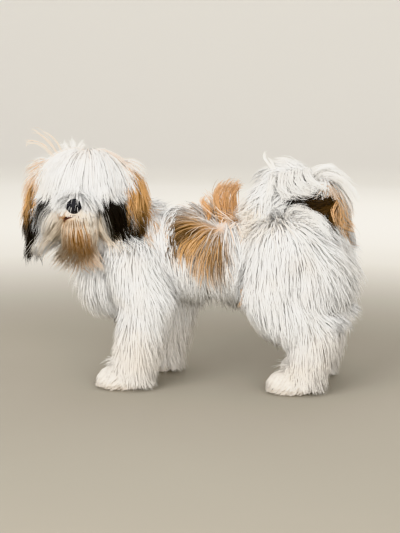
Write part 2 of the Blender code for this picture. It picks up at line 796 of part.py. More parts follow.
# Each body part: its core's triangles, and the parts made before it that it is cut clear of
ORDER = (
    ("head", 760, ("eye_left", "eye_right", "nose")),
    ("ear_left", 160, ("head",)),
    ("ear_right", 160, ("head",)),
    ("torso_front", 240, ("head", "ear_left", "ear_right")),
    ("torso_rear", 220, ("torso_front",)),
    ("neck", 180, ("head", "ear_left", "ear_right", "torso_front")),
    ("foreleg_left", 130, ("torso_front", "torso_rear", "neck", "head", "ear_left")),
    ("forepaw_left", 130, ("foreleg_left", "torso_front")),
    ("foreleg_right", 130, ("torso_front", "torso_rear", "neck", "head", "foreleg_left", "forepaw_left")),
    ("forepaw_right", 130, ("foreleg_right", "foreleg_left", "forepaw_left")),
    ("thigh_left", 240, ("torso_front", "torso_rear")),
    ("hind_leg_left", 130, ("thigh_left", "torso_rear")),
    ("hind_paw_left", 130, ("hind_leg_left", "thigh_left")),
    ("thigh_right", 240, ("torso_front", "torso_rear", "thigh_left", "hind_leg_left")),
    ("hind_leg_right", 130, ("thigh_right", "torso_rear", "thigh_left", "hind_leg_left", "hind_paw_left")),
    ("hind_paw_right", 130, ("hind_leg_right", "thigh_right", "hind_leg_left", "hind_paw_left")),
    ("tail_root", 160, ("torso_rear", "thigh_left", "thigh_right")),
    ("tail_tip", 160, ("torso_rear", "torso_front", "thigh_left", "thigh_right", "tail_root")),
)


def main():
    clear_scene()
    dog = collection("shih_tzu")
    looks = {
        "white": material("coat_white", (0.80, 0.78, 0.73), 0.75),
        "tan": material("coat_tan", (0.50, 0.27, 0.12), 0.70),
        "black": material("nose_black", (0.02, 0.02, 0.022), 0.35),
        "dark": material("eye_dark", (0.03, 0.015, 0.01), 0.08),
    }
    solids = {"nose": nose(dog)}
    paint(solids["nose"], looks["black"])
    for label, side in SIDES.items():
        name = "eye_" + label
        solids[name] = eye(name, -side, dog)
        paint(solids[name], looks["dark"])
    cutters = {name: [grown(obj)] for name, obj in solids.items()}
    for number, (name, triangles, before) in enumerate(ORDER):
        kind, forms = PARTS[name]
        made = flesh(name, forms, COAT[kind]["core"], triangles, dog)
        if name == "head":
            carve_face(made)
        if kind == "ear":
            ear_cup(made, name[4:])
        cutters[name] = add_locks(made, name, before, np.random.default_rng((SEED, number)))
        if kind in ("forepaw", "hind_paw"):
            flatten_foot(made)
        cut_clear(made, [data for other in before for data in cutters[other]])
        paint(made, looks["tan" if kind == "ear" else "white"])
        solids[name] = made
    for obj in solids.values():
        obj.data.shade_smooth()
    centre_on_floor(list(solids.values()))
    print("all", sum(triangle_count(obj.data) for obj in solids.values()), "triangles")


main()
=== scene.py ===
"""A young shih tzu with a white, tan and black coat: the finish of its skin, face and coat.

Metres, +Z up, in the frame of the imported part. The dog faces -X and its left side faces -Y.
"""
import math

import bmesh
import bpy
import numpy as np
from mathutils import Euler, Matrix, Vector
from mathutils.kdtree import KDTree


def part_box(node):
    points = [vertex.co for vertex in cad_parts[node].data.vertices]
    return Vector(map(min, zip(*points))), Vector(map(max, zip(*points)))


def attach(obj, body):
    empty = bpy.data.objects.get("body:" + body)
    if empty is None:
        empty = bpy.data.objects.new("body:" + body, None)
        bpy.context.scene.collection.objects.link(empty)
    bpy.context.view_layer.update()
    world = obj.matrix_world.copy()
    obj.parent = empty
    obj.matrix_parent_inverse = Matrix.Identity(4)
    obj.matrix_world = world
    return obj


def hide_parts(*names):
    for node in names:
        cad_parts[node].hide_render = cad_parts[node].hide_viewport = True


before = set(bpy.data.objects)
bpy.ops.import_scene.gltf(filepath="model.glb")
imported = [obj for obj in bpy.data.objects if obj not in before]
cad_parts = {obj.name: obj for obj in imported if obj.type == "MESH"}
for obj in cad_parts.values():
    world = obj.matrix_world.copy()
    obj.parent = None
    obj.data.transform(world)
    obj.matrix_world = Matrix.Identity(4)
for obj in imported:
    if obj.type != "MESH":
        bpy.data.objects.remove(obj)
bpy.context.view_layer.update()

bl_info = {
    "name": "Shih Tzu",
    "version": (1, 0, 0),
    "blender": (4, 5, 0),
    "location": "3D View > Sidebar > Dog",
    "description": "Dresses the still model of a young shih tzu in skin, face and long coat",
    "category": "Add Mesh",
}

# The body's forms, as its solids have them
WITHERS = 0.193
CHEST_DEPTH = 0.086
CHEST_WIDTH = 0.076
STANCE = 0.044
SIDES = {"left": -1, "right": 1}
FORELEG_X = {"left": -0.056, "right": -0.036}
HIND_LEG_X = {"left": 0.108, "right": 0.119}
PAW = (0.023, 0.0165, 0.0135)
HEAD_PLACE = Vector((-0.112, -0.030, 0.2240))
HEAD_YAW = math.radians(0)
HEAD_PITCH = math.radians(-4)
SKULL = (0.044, 0.043, 0.040)
MUZZLE = (0.021, 0.0215, 0.016)
EYE_PLACE = Vector((0.0335, 0.0205, -0.003))
EYE_AXIS = Vector((0.87, 0.48, 0.08))
EYE_RADIUS = 0.0088
NOSE_PLACE = Vector((0.0655, 0.0, -0.0105))
NOSE_SIZE = (0.0062, 0.0082, 0.0064)
MOUTH_MIDDLE = -0.0215
MOUTH_DROP = 0.011
MOUTH_TURN = math.radians(62)
MOUTH_HALF = 0.030
EAR_ROOT = (-0.004, 0.046, 0.010)
TAIL_ARCH = (
    (Vector((0.128, 0.000, 0.178)), 0.0110),
    (Vector((0.147, -0.003, 0.202)), 0.0095),
    (Vector((0.141, -0.007, 0.222)), 0.0085),
    (Vector((0.118, -0.012, 0.229)), 0.0075),
    (Vector((0.095, -0.017, 0.220)), 0.0065),
    (Vector((0.080, -0.022, 0.204)), 0.0050),
)
BARE_NODES = ("nose", "eye_left", "eye_right")
SEED = 11

# The camera as it was guessed for the photograph, and the photograph's size in pixels
AZIMUTH = math.radians(7)
ELEVATION = math.radians(9)
DISTANCE = 1.5
LENS = 90.0
SENSOR = 36.0
VIEW_MIDDLE = (0.011, 0.0, 0.132)
PICTURE = (400, 533)


def head_axes():
    """The head's forward, side (the dog's left) and up axes as the columns of a matrix."""
    level = Vector((math.sin(HEAD_YAW), -math.cos(HEAD_YAW), 0.0))
    side = Vector((0.0, 0.0, 1.0)).cross(level)
    forward = Matrix.Rotation(-HEAD_PITCH, 3, side) @ level
    return Matrix((forward, side, forward.cross(side))).transposed()


HEAD = head_axes()
HEAD_NP = np.array(HEAD)


def frame_shift():
    """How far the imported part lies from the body's own origin, read off the nose."""
    low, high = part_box("nose")
    shift = (low + high) / 2 - (HEAD_PLACE + HEAD @ NOSE_PLACE)
    return Vector((shift.x, shift.y, 0.0))


SHIFT = frame_shift()
HEAD_CENTRE = HEAD_PLACE + SHIFT


def at(x, y, z):
    return Vector((x, y, z)) + SHIFT


def on_head(forward, side, up):
    return HEAD_CENTRE + HEAD @ Vector((forward, side, up))


def ball(centre, radii, axes=None):
    """An ellipsoid of flesh: kind, centre, axes and radii."""
    return ("ball", np.array(centre), np.array(axes) if axes else np.eye(3), np.array(radii))


def bone(start, end, start_radius, end_radius):
    """A tapered limb of flesh with round ends: kind, ends and radii."""
    return ("bone", np.array(start), np.array(end), start_radius, end_radius)


def head_forms():
    forms = [
        ball(on_head(0.0, 0.0, 0.0), SKULL, HEAD),
        ball(on_head(0.043, 0.0, -0.019), MUZZLE, HEAD),
        ball(on_head(0.036, 0.0, -0.033), (0.021, 0.016, 0.011), HEAD),
    ]
    return forms + [ball(on_head(0.018, s * 0.022, -0.020), (0.024, 0.021, 0.022), HEAD) for s in (1, -1)]


def ear_forms(label):
    forward, out, up = EAR_ROOT
    side = -SIDES[label]
    return [
        ball(on_head(forward, side * out, up), (0.012, 0.0070, 0.012), HEAD),
        ball(on_head(forward + 0.002, side * (out + 0.0075), up - 0.022), (0.018, 0.0050, 0.022), HEAD),
        ball(on_head(forward + 0.003, side * (out + 0.0105), up - 0.042), (0.016, 0.0038, 0.017), HEAD),
    ]


def torso_forms():
    middle = WITHERS - CHEST_DEPTH / 2
    return [
        ball(at(-0.054, 0.0, middle), (0.047, CHEST_WIDTH / 2, CHEST_DEPTH / 2)),
        ball(at(-0.084, 0.0, middle - 0.020), (0.030, 0.033, 0.038)),
        ball(at(-0.004, 0.0, middle + 0.003), (0.052, 0.037, 0.039)),
        ball(at(0.045, 0.0, 0.150), (0.052, 0.034, 0.036)),
        ball(at(0.104, 0.0, 0.152), (0.048, 0.038, 0.039)),
    ]


def foreleg_forms(label):
    x, y = FORELEG_X[label], SIDES[label] * STANCE
    elbow = at(x + 0.012, y * 0.9, 0.096)
    return [
        bone(at(x - 0.002, y * 0.72, 0.138), elbow, 0.026, 0.019),
        bone(elbow, at(x, y, 0.040), 0.018, 0.0135),
        bone(at(x, y, 0.040), at(x - 0.006, y, 0.016), 0.0135, 0.013),
    ]


def hind_leg_forms(label):
    x, y = HIND_LEG_X[label], SIDES[label] * STANCE
    hock = at(x + 0.034, y, 0.062)
    return [
        bone(at(x - 0.010, y * 0.95, 0.100), hock, 0.019, 0.0135),
        bone(hock, at(x + 0.026, y, 0.034), 0.0135, 0.0125),
        bone(at(x + 0.026, y, 0.034), at(x + 0.020, y, 0.016), 0.0125, 0.012),
    ]


def thigh_forms(label):
    x, y = HIND_LEG_X[label], SIDES[label] * STANCE
    return [
        bone(at(x, y * 0.66, 0.150), at(x - 0.012, y * 0.9, 0.108), 0.035, 0.023),
        ball(at(x + 0.018, y * 0.74, 0.124), (0.031, 0.024, 0.040)),
    ]


def paw_places():
    """The middle of each paw's ball, by name."""
    places = {}
    for label, side in SIDES.items():
        places["forepaw_" + label] = at(FORELEG_X[label] - 0.016, side * STANCE, 0.012)
        places["hind_paw_" + label] = at(HIND_LEG_X[label] + 0.009, side * STANCE, 0.012)
    return places


def all_forms():
    """The forms of the flesh by the region of coat that grows on them."""
    paws = paw_places()
    forms = {
        "head": head_forms(),
        "neck": [bone(at(-0.078, -0.004, 0.166), on_head(-0.012, 0.0, -0.014), 0.034, 0.031)],
        "torso": torso_forms(),
        "tail": [
            bone(a + SHIFT, b + SHIFT, ra, rb)
            for (a, ra), (b, rb) in zip(TAIL_ARCH[:-1], TAIL_ARCH[1:])
        ],
    }
    for label in SIDES:
        forms["ear_" + label] = ear_forms(label)
        forms["foreleg_" + label] = foreleg_forms(label)
        forms["thigh_" + label] = thigh_forms(label)
        forms["hind_leg_" + label] = hind_leg_forms(label)
        for pair in ("forepaw_", "hind_paw_"):
            forms[pair + label] = [ball(paws[pair + label], PAW)]
    return forms


FORMS = all_forms()
REGIONS = tuple(FORMS)


# Distances from the flesh, for many points at once

def unit(vectors):
    return vectors / np.maximum(np.linalg.norm(vectors, axis=-1, keepdims=True), 1e-9)


def rise(values, low, high):
    """0 below low, 1 above high, and smooth between."""
    share = np.clip((values - low) / (high - low), 0.0, 1.0)
    return share * share * (3.0 - 2.0 * share)


def form_distance(points, form):
    if form[0] == "ball":
        _, centre, axes, radii = form
        local = (points - centre) @ axes
        near = np.linalg.norm(local / radii, axis=1)
        slope = np.linalg.norm(local / radii**2, axis=1)
        return near * (near - 1.0) / np.maximum(slope, 1e-9)
    _, start, end, start_radius, end_radius = form
    along = end - start
    share = np.clip((points - start) @ along / (along @ along), 0.0, 1.0)
    radius = start_radius + share * (end_radius - start_radius)
    return np.linalg.norm(points - start - share[:, None] * along, axis=1) - radius


def region_distance(points, region):
    return np.min([form_distance(points, form) for form in FORMS[region]], axis=0)


def eye_centres():
    forward, out, up = EYE_PLACE
    return [np.array(on_head(forward, side * out, up)) for side in (1, -1)]


def flesh_distance(points):
    """How far points are outside the flesh, the eyes and the nose."""
    near = [region_distance(points, region) for region in REGIONS]
    near.append(form_distance(points, ball(on_head(*NOSE_PLACE), NOSE_SIZE, HEAD)) - 0.0005)
    near += [np.linalg.norm(points - centre, axis=1) - EYE_RADIUS - 0.0005 for centre in eye_centres()]
    return np.min(near, axis=0)


def flesh_slope(points, step=0.0006):
    """The distance from the flesh, and the direction straight out of it."""
    here = flesh_distance(points)
    ahead = [flesh_distance(points + axis) - here for axis in np.eye(3) * step]
    return here, unit(np.stack(ahead, axis=1))


def mouth_height(share):
    """How high the line of the mouth runs, from 0 in its middle to 1 at its corners."""
    return MOUTH_MIDDLE - MOUTH_DROP * np.abs(share) ** 1.5


def camera_way(azimuth, elevation):
    """The direction from the dog to the camera."""
    level = math.cos(elevation)
    return math.sin(azimuth) * level, -math.cos(azimuth) * level, math.sin(elevation)


def seen_at(across, down, y):
    """The place with a given y that shows at a pixel of the photograph, to a tenth of a millimetre."""
    back = np.array(camera_way(AZIMUTH, ELEVATION))
    camera = np.array(VIEW_MIDDLE) + back * DISTANCE
    right = unit(np.cross(-back, (0.0, 0.0, 1.0)))
    up = np.cross(right, -back)
    pixel = SENSOR / LENS / PICTURE[1]
    way = right * (across - PICTURE[0] / 2) * pixel + up * (PICTURE[1] / 2 - down) * pixel - back
    return np.round(camera + way * ((y - camera[1]) / way[1]), 4)


def in_head(points):
    return (points - np.array(HEAD_CENTRE)) @ HEAD_NP


def in_body(points):
    return points - np.array(SHIFT)


# Settings

class DogColours(bpy.types.PropertyGroup):
    """The colours of the coat and the bare skin."""

    white: bpy.props.FloatVectorProperty(
        name="White hair", description="Main colour of the coat", subtype="COLOR", size=3,
        min=0.0, max=1.0, default=(0.975, 0.965, 0.94),
    )
    # Cream also paints the shade on the lower legs and feet
    cream: bpy.props.FloatVectorProperty(
        name="Cream hair", description="Yellowish hair where the white coat is stained", subtype="COLOR",
        size=3, min=0.0, max=1.0, default=(0.97, 0.82, 0.64),
    )
    tan: bpy.props.FloatVectorProperty(
        name="Tan hair", description="Ears, crown and the patches of the back", subtype="COLOR", size=3,
        min=0.0, max=1.0, default=(0.80, 0.445, 0.175),
    )
    black: bpy.props.FloatVectorProperty(
        name="Black hair", description="Temples, fronts of the ears and dark tips", subtype="COLOR",
        size=3, min=0.0, max=1.0, default=(0.017, 0.015, 0.014),
    )
    rust: bpy.props.FloatVectorProperty(
        name="Rust stain", description="Beard hair stained below the mouth", subtype="COLOR", size=3,
        min=0.0, max=1.0, default=(0.56, 0.27, 0.08),
    )
    flesh: bpy.props.FloatVectorProperty(
        name="Skin", description="Bare skin under the coat", subtype="COLOR", size=3,
        min=0.0, max=1.0, default=(0.72, 0.44, 0.36),
    )
    leather: bpy.props.FloatVectorProperty(
        name="Leather", description="Nose and eyelids", subtype="COLOR", size=3,
        min=0.0, max=1.0, default=(0.008, 0.008, 0.009),
    )
    iris: bpy.props.FloatVectorProperty(
        name="Iris", description="Dark brown of the eyes", subtype="COLOR", size=3,
        min=0.0, max=1.0, default=(0.055, 0.022, 0.009),
    )


class DogSizes(bpy.types.PropertyGroup):
    """The sizes of the skin and of single hairs."""

    skin_cell: bpy.props.FloatProperty(
        name="Skin cell", description="Size of the skin's mesh cells", unit="LENGTH",
        min=0.001, max=0.005, default=0.0021, precision=4,
    )
    hair: bpy.props.FloatProperty(
        name="Hair width", description="Width of the hairs, as a share of their own", subtype="FACTOR",
        min=0.3, max=3.0, default=1.0,
    )
    fullness: bpy.props.FloatProperty(
        name="Fullness", description="How many strands the coat has, as a share of the full number",
        subtype="FACTOR", min=0.05, max=1.0, default=1.0,
    )


class DogStage(bpy.types.PropertyGroup):
    """The floor, the lights and the camera."""

    floor: bpy.props.FloatVectorProperty(
        name="Floor", description="Colour of the floor", subtype="COLOR", size=3,
        min=0.0, max=1.0, default=(0.30, 0.272, 0.222),
    )
    # The floor also fades into this colour as painted light
    wall: bpy.props.FloatVectorProperty(
        name="Wall", description="Colour of the backdrop behind the dog", subtype="COLOR", size=3,
        min=0.0, max=1.0, default=(0.88, 0.85, 0.79),
    )
    key: bpy.props.FloatProperty(
        name="Key light", description="Strength of the large light at the front", unit="POWER",
        min=0.0, max=200.0, default=19.0,
    )
    fill: bpy.props.FloatProperty(
        name="Fill light", description="Strength of the light beside the camera", unit="POWER",
        min=0.0, max=200.0, default=18.0,
    )
    back: bpy.props.FloatProperty(
        name="Back light", description="Strength of the light behind the dog", unit="POWER",
        min=0.0, max=200.0, default=13.0,
    )
    sky: bpy.props.FloatProperty(
        name="Sky", description="Strength of the light from all round", min=0.0, max=5.0, default=0.92,
    )
    azimuth: bpy.props.FloatProperty(
        name="Azimuth", description="Turn of the camera about the dog", subtype="ANGLE",
        default=AZIMUTH,
    )
    elevation: bpy.props.FloatProperty(
        name="Elevation", description="Height of the camera above the level", subtype="ANGLE",
        default=ELEVATION,
    )
    distance: bpy.props.FloatProperty(
        name="Distance", description="From the camera to the dog", unit="LENGTH",
        min=0.3, default=DISTANCE,
    )
    lens: bpy.props.FloatProperty(
        name="Lens", description="Focal length in millimetres", min=20.0, max=200.0, default=LENS,
    )


# Modelling helpers

def deselect():
    bpy.ops.object.select_all(action="DESELECT")


def activate(piece):
    deselect()
    piece.select_set(True)
    bpy.context.view_layer.objects.active = piece


def read_array(items, key, width=1, kind=np.float64):
    """One value, or one row of values, for each item of a mesh."""
    values = np.empty(len(items) * width, kind)
    items.foreach_get(key, values)
    return values.reshape(-1, width) if width > 1 else values


def paint(data, name, values):
    """Stores four values for each point of a mesh, for its material to read."""
    painted = data.color_attributes.new(name, "FLOAT_COLOR", "POINT")
    painted.data.foreach_set("color", values.reshape(-1))


def tree_of(places):
    """A search tree that finds the nearest of some places by its number."""
    tree = KDTree(len(places))
    for number, place in enumerate(places):
        tree.insert(place, number)
    tree.balance()
    return tree


def settle(piece, name):
    """Applies a new piece's place, turn and size, and names it."""
    activate(piece)
    bpy.ops.object.transform_apply(location=True, rotation=True, scale=True)
    piece.name = name
    piece.data.name = name
    return piece


def add_ball(centre, radii, axes=None, segments=32, rings=16):
    """A squashed sphere, added at its size and place."""
    turn = Matrix(axes.tolist()).to_euler() if axes is not None else Euler((0, 0, 0))
    deselect()
    bpy.ops.mesh.primitive_uv_sphere_add(
        segments=segments, ring_count=rings, radius=1.0, location=centre, rotation=turn, scale=radii
    )
    return settle(bpy.context.active_object, "ball")


def add_bone(start, end, start_radius, end_radius):
    """A tapered limb with round ends, as three primitives."""
    start, end = Vector(start), Vector(end)
    turn = (end - start).to_track_quat("Z", "Y").to_euler()
    deselect()
    bpy.ops.mesh.primitive_cone_add(
        vertices=32, radius1=start_radius, radius2=end_radius, depth=(end - start).length,
        location=(start + end) / 2, rotation=turn,
    )
    limb = settle(bpy.context.active_object, "limb")
    return [limb, add_ball(start, (start_radius,) * 3), add_ball(end, (end_radius,) * 3)]


def join(pieces, name):
    deselect()
    for piece in pieces:
        piece.select_set(True)
    bpy.context.view_layer.objects.active = pieces[0]
    if len(pieces) > 1:
        bpy.ops.object.join()
    return settle(bpy.context.active_object, name)


def apply_modifier(piece, kind, **settings):
    activate(piece)
    made = piece.modifiers.new(kind.lower(), kind)
    for key, value in settings.items():
        setattr(made, key, value)
    bpy.ops.object.modifier_apply(modifier=made.name)


def smooth(piece):
    activate(piece)
    bpy.ops.object.shade_smooth()


def finish_piece(piece, look):
    """Gives a piece its material and its body."""
    piece.data.materials.clear()
    piece.data.materials.append(look)
    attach(piece, "root")
    return piece


# Materials

def plug(tree, node, values):
    """Sets a node's inputs, each to a value or by a link from another node's socket."""
    for key, value in values.items():
        if isinstance(value, bpy.types.NodeSocket):
            tree.links.new(value, node.inputs[key])
        else:
            node.inputs[key].default_value = value


def nodes_of(tree):
    """A function that adds a node to a tree and sets its properties and inputs."""

    def add(kind, inputs=None, **settings):
        node = tree.nodes.new(kind)
        for key, value in settings.items():
            setattr(node, key, value)
        plug(tree, node, inputs or {})
        return node

    return add


def mixer(add, share, first, second, blend="MIX"):
    """A colour between two others."""
    node = add("ShaderNodeMix", data_type="RGBA", blend_type=blend, clamp_factor=True)
    ends = {
        key: value if isinstance(value, bpy.types.NodeSocket) else (*value[:3], 1.0)
        for key, value in ((6, first), (7, second))
    }
    plug(node.id_data, node, {0: share, **ends})
    return node.outputs[2]


def noise(add, scale, detail):
    """Soft clouds on the object's own coordinates."""
    place = add("ShaderNodeTexCoord").outputs["Object"]
    return add("ShaderNodeTexNoise", {"Vector": place, "Scale": scale, "Detail": detail}).outputs["Fac"]


def ramp(add, value, low=0.0, high=1.0, start=0.0, end=1.0, **settings):
    """A value taken from the range low to high into the range start to end."""
    ranges = {"From Min": low, "From Max": high, "To Min": start, "To Max": end}
    return add("ShaderNodeMapRange", {"Value": value, **ranges}, **settings).outputs["Result"]


def bumps(add, height, strength, distance):
    """The normal of a relief."""
    inputs = {"Height": height, "Strength": strength, "Distance": distance}
    return add("ShaderNodeBump", inputs).outputs["Normal"]


def new_group(name, takes, gives):
    """A shader node group with its sockets, each by its name, its kind and a number's default."""
    group = bpy.data.node_groups.new(name, "ShaderNodeTree")
    for direction, sockets in (("INPUT", takes), ("OUTPUT", gives)):
        for label, kind, value in sockets:
            kind = "NodeSocket" + kind
            made = group.interface.new_socket(name=label, in_out=direction, socket_type=kind)
            if value is not None:
                made.default_value = value
    return group, nodes_of(group)


def markings_group():
    """The coat's colour from its marking attributes, shared by the skin and the hair."""
    name = "Coat Markings"
    if name in bpy.data.node_groups:
        return bpy.data.node_groups[name]
    takes = [(colour, "Color", None) for colour in ("White", "Cream", "Tan", "Black", "Rust", "Marks")]
    takes += [("Stain", "Float", 0.0), ("Along", "Float", 0.5), ("Pick", "Float", 0.5)]
    group, add = new_group(name, takes, [("Color", "Color", None)])
    inside = add("NodeGroupInput").outputs
    marks = add("ShaderNodeSeparateColor", {"Color": inside["Marks"]}).outputs
    # Cream comes in patches through the white
    yellowed = ramp(add, noise(add, 26.0, 3.0), low=0.48, high=0.80, end=0.22)
    white = mixer(add, yellowed, inside["White"], inside["Cream"])
    # The roots of white hair are a little warmer than its tips
    root = ramp(add, inside["Along"], high=0.6, start=0.12, end=0.0)
    white = mixer(add, root, white, inside["Cream"])
    # Stained hair turns cream, and so does hair where shade is painted on the lower legs
    white = mixer(add, inside["Stain"], white, inside["Cream"])
    # Tan hair is paler towards its tips, and some hairs are dark
    pale = mixer(add, 0.5, inside["Tan"], inside["Cream"])
    tan = mixer(add, ramp(add, inside["Along"], low=0.35, end=0.30), inside["Tan"], pale)
    tan = mixer(add, ramp(add, inside["Pick"], low=0.78, end=0.75), tan, inside["Black"])
    colour = mixer(add, marks["Red"], white, tan)
    colour = mixer(add, marks["Blue"], colour, inside["Rust"])
    colour = mixer(add, marks["Green"], colour, inside["Black"])
    # Each hair differs a little in brightness
    level = ramp(add, inside["Pick"], start=0.90, end=1.04)
    grey = add("ShaderNodeCombineColor", {"Red": level, "Green": level, "Blue": level}).outputs["Color"]
    add("NodeGroupOutput", {"Color": mixer(add, 1.0, colour, grey, "MULTIPLY")})
    return group


def pebble_group():
    """The pebbled relief of nose leather: a height and a mask of its furrows."""
    name = "Leather Pebbles"
    if name in bpy.data.node_groups:
        return bpy.data.node_groups[name]
    gives = [("Height", "Float", None), ("Furrows", "Float", None)]
    group, add = new_group(name, [("Scale", "Float", 900.0)], gives)
    scale = add("NodeGroupInput").outputs["Scale"]
    place = add("ShaderNodeTexCoord").outputs["Object"]
    cells = add("ShaderNodeTexVoronoi", {"Vector": place, "Scale": scale}, feature="DISTANCE_TO_EDGE")
    height = ramp(add, cells.outputs["Distance"], high=0.22, interpolation_type="SMOOTHSTEP")
    furrows = ramp(add, height, start=1.0, end=0.0)
    add("NodeGroupOutput", {"Height": height, "Furrows": furrows})
    return group


def new_material(name):
    """A material with a function that adds nodes to it."""
    made = bpy.data.materials.new(name)
    made.use_nodes = True
    return made, nodes_of(made.node_tree)


def finish_material(made, looks):
    """Sets the inputs of a material's own shader."""
    plug(made.node_tree, made.node_tree.nodes["Principled BSDF"], looks)
    return made


def markings_in(add):
    """The colour of the markings group in a material, with the scene's colours."""
    colours = bpy.context.scene.dog_colours
    marks = add("ShaderNodeAttribute", attribute_name="marks").outputs
    strand = add("ShaderNodeAttribute", attribute_name="strand").outputs["Color"]
    parts = add("ShaderNodeSeparateColor", {"Color": strand}).outputs
    inputs = {
        label.capitalize(): (*getattr(colours, label), 1.0)
        for label in ("white", "cream", "tan", "black", "rust")
    }
    inputs |= {"Marks": marks["Color"], "Stain": marks["Alpha"]}
    inputs |= {"Along": parts["Red"], "Pick": parts["Green"]}
    chosen = add("ShaderNodeGroup", node_tree=markings_group())
    plug(chosen.id_data, chosen, inputs)
    return chosen.outputs["Color"]


def coat_material():
    """Dull soft hair in the coat's own colours."""
    name = "coat_hair"
    if name in bpy.data.materials:
        return bpy.data.materials[name]
    made, add = new_material(name)
    looks = {"Base Color": markings_in(add), "Roughness": 0.62, "Specular IOR Level": 0.25}
    return finish_material(made, looks)


def skin_material():
    """Pink skin that shows through the coat's own colours, with fine pores as bump."""
    made, add = new_material("skin")
    mottle = ramp(add, noise(add, 60.0, 4.0), start=0.80)
    flesh = bpy.context.scene.dog_colours.flesh
    return finish_material(made, {
        "Base Color": mixer(add, mottle, flesh, markings_in(add)),
        "Normal": bumps(add, noise(add, 900.0, 4.0), 0.35, 0.0008),
        "Roughness": 0.6,
    })


def leather_material():
    """Black nose leather: pebbled, moist on its crests and dull in its furrows, with painted shade darkening
    the furrows.
    """
    name = "nose_leather"
    if name in bpy.data.materials:
        return bpy.data.materials[name]
    made, add = new_material(name)
    leather = bpy.context.scene.dog_colours.leather
    # Painted shade: the furrows between the pebbles are darker than the crests
    furrow_shade = tuple(channel * 0.35 for channel in leather)
    pebbles = add("ShaderNodeGroup", node_tree=pebble_group())
    pebbles.inputs["Scale"].default_value = 1100.0
    furrows = pebbles.outputs["Furrows"]
    return finish_material(made, {
        "Base Color": mixer(add, furrows, leather, furrow_shade),
        "Roughness": ramp(add, furrows, start=0.20, end=0.45),
        "Normal": bumps(add, pebbles.outputs["Height"], 0.3, 0.0003),
        "Coat Weight": 0.9,
        "Coat Roughness": 0.08,
    })


def eye_material():
    """A dark iris with a black pupil and fine rays, under a wet cornea."""
    made, add = new_material("eye")
    dark = bpy.context.scene.dog_colours.iris
    bright = tuple(min(1.0, channel * 2.4) for channel in dark)
    middle = add("ShaderNodeAttribute", attribute_name="gaze").outputs["Fac"]
    iris = mixer(add, noise(add, 700.0, 3.0), dark, bright)
    pupil = ramp(add, middle, low=0.925, high=0.945)
    colour = mixer(add, pupil, iris, (0.002, 0.002, 0.002))
    white = ramp(add, middle, low=0.56, high=0.64, start=1.0, end=0.0)
    return finish_material(made, {
        "Base Color": mixer(add, white, colour, (0.12, 0.085, 0.07)),
        "Roughness": 0.12,
        "Coat Weight": 1.0,
        "Coat Roughness": 0.02,
    })


def lip_material():
    """Moist dark lips, reddish brown in patches."""
    made, add = new_material("lips")
    patches = noise(add, 220.0, 3.0)
    share = ramp(add, patches, low=0.4, high=0.6)
    return finish_material(made, {
        "Base Color": mixer(add, share, (0.028, 0.010, 0.008), (0.13, 0.034, 0.022)),
        "Normal": bumps(add, patches, 0.3, 0.0004),
        "Roughness": 0.38,
    })


def claw_material():
    """Dark horn with brown clouds."""
    made, add = new_material("claws")
    colour = mixer(add, noise(add, 500.0, 2.0), (0.10, 0.07, 0.05), (0.24, 0.17, 0.12))
    return finish_material(made, {"Base Color": colour, "Roughness": 0.3})


STAGE_MIDDLE = (0.0, -0.6, 0.0)


def stage_material():
    """A plain pale floor that grows paler all round, as painted light of sunlit ground behind the dog, and the
    wall behind.
    """
    made, add = new_material("stage")
    settings = bpy.context.scene.dog_stage
    paler = tuple(min(1.0, channel * 1.08) for channel in settings.floor)
    ground = mixer(add, noise(add, 3.0, 6.0), settings.floor, paler)
    place = add("ShaderNodeTexCoord").outputs["Object"]
    middle = add("ShaderNodeVectorMath", {0: place, 1: STAGE_MIDDLE}, operation="DISTANCE")
    # Painted light: from 0.85 m round the middle the floor pales into the wall's colour, like sunlit ground
    # behind the dog, which also blends the floor into the wall
    share = ramp(add, middle.outputs["Value"], low=0.85, high=2.1, interpolation_type="SMOOTHSTEP")
    colour = mixer(add, share, ground, settings.wall)
    return finish_material(made, {"Base Color": colour, "Roughness": 0.85})


# Markings: kind, place, radii, strength at a hair's root and at its tip

HEAD_MARKS = (
    ("black", (0.044, 0.036, -0.010), (0.026, 0.020, 0.014), 1.0, 1.0),
    ("black", (0.036, 0.044, -0.026), (0.022, 0.016, 0.020), 1.0, 1.0),
    ("black", (0.044, 0.036, -0.028), (0.018, 0.010, 0.014), 1.0, 1.0),
    ("black", (0.052, 0.027, -0.014), (0.012, 0.008, 0.012), 1.0, 1.0),
    ("black", (0.016, 0.058, -0.016), (0.018, 0.012, 0.020), 0.0, 1.0),
    ("black", (0.022, 0.054, -0.032), (0.020, 0.011, 0.022), 1.0, 1.0),
    ("black", (0.040, -0.030, -0.006), (0.018, 0.016, 0.009), 1.0, 0.9),
    ("black", (0.018, -0.050, -0.018), (0.018, 0.012, 0.016), 1.0, 1.0),
    ("black", (0.006, -0.055, -0.042), (0.018, 0.014, 0.022), 1.0, 1.0),
    ("tan", (0.006, 0.054, 0.006), (0.022, 0.016, 0.028), 1.0, 1.0),
    ("tan", (0.000, 0.064, -0.022), (0.012, 0.010, 0.020), 1.0, 1.0),
    ("tan", (-0.002, -0.056, 0.000), (0.020, 0.014, 0.024), 1.0, 1.0),
    ("tan", (-0.002, -0.036, 0.030), (0.016, 0.014, 0.014), 0.85, 0.9),
    ("tan", (-0.010, 0.020, 0.040), (0.009, 0.022, 0.008), 0.40, 0.5),
    ("rust", (0.054, 0.002, -0.036), (0.020, 0.014, 0.010), 1.0, 0.60),
    ("rust", (0.040, 0.006, -0.044), (0.022, 0.016, 0.010), 0.90, 0.25),
    ("rust", (0.056, -0.017, -0.025), (0.010, 0.008, 0.006), 1.0, 0.45),
    ("cream", (0.046, -0.002, -0.036), (0.030, 0.036, 0.022), 0.95, 0.65),
)
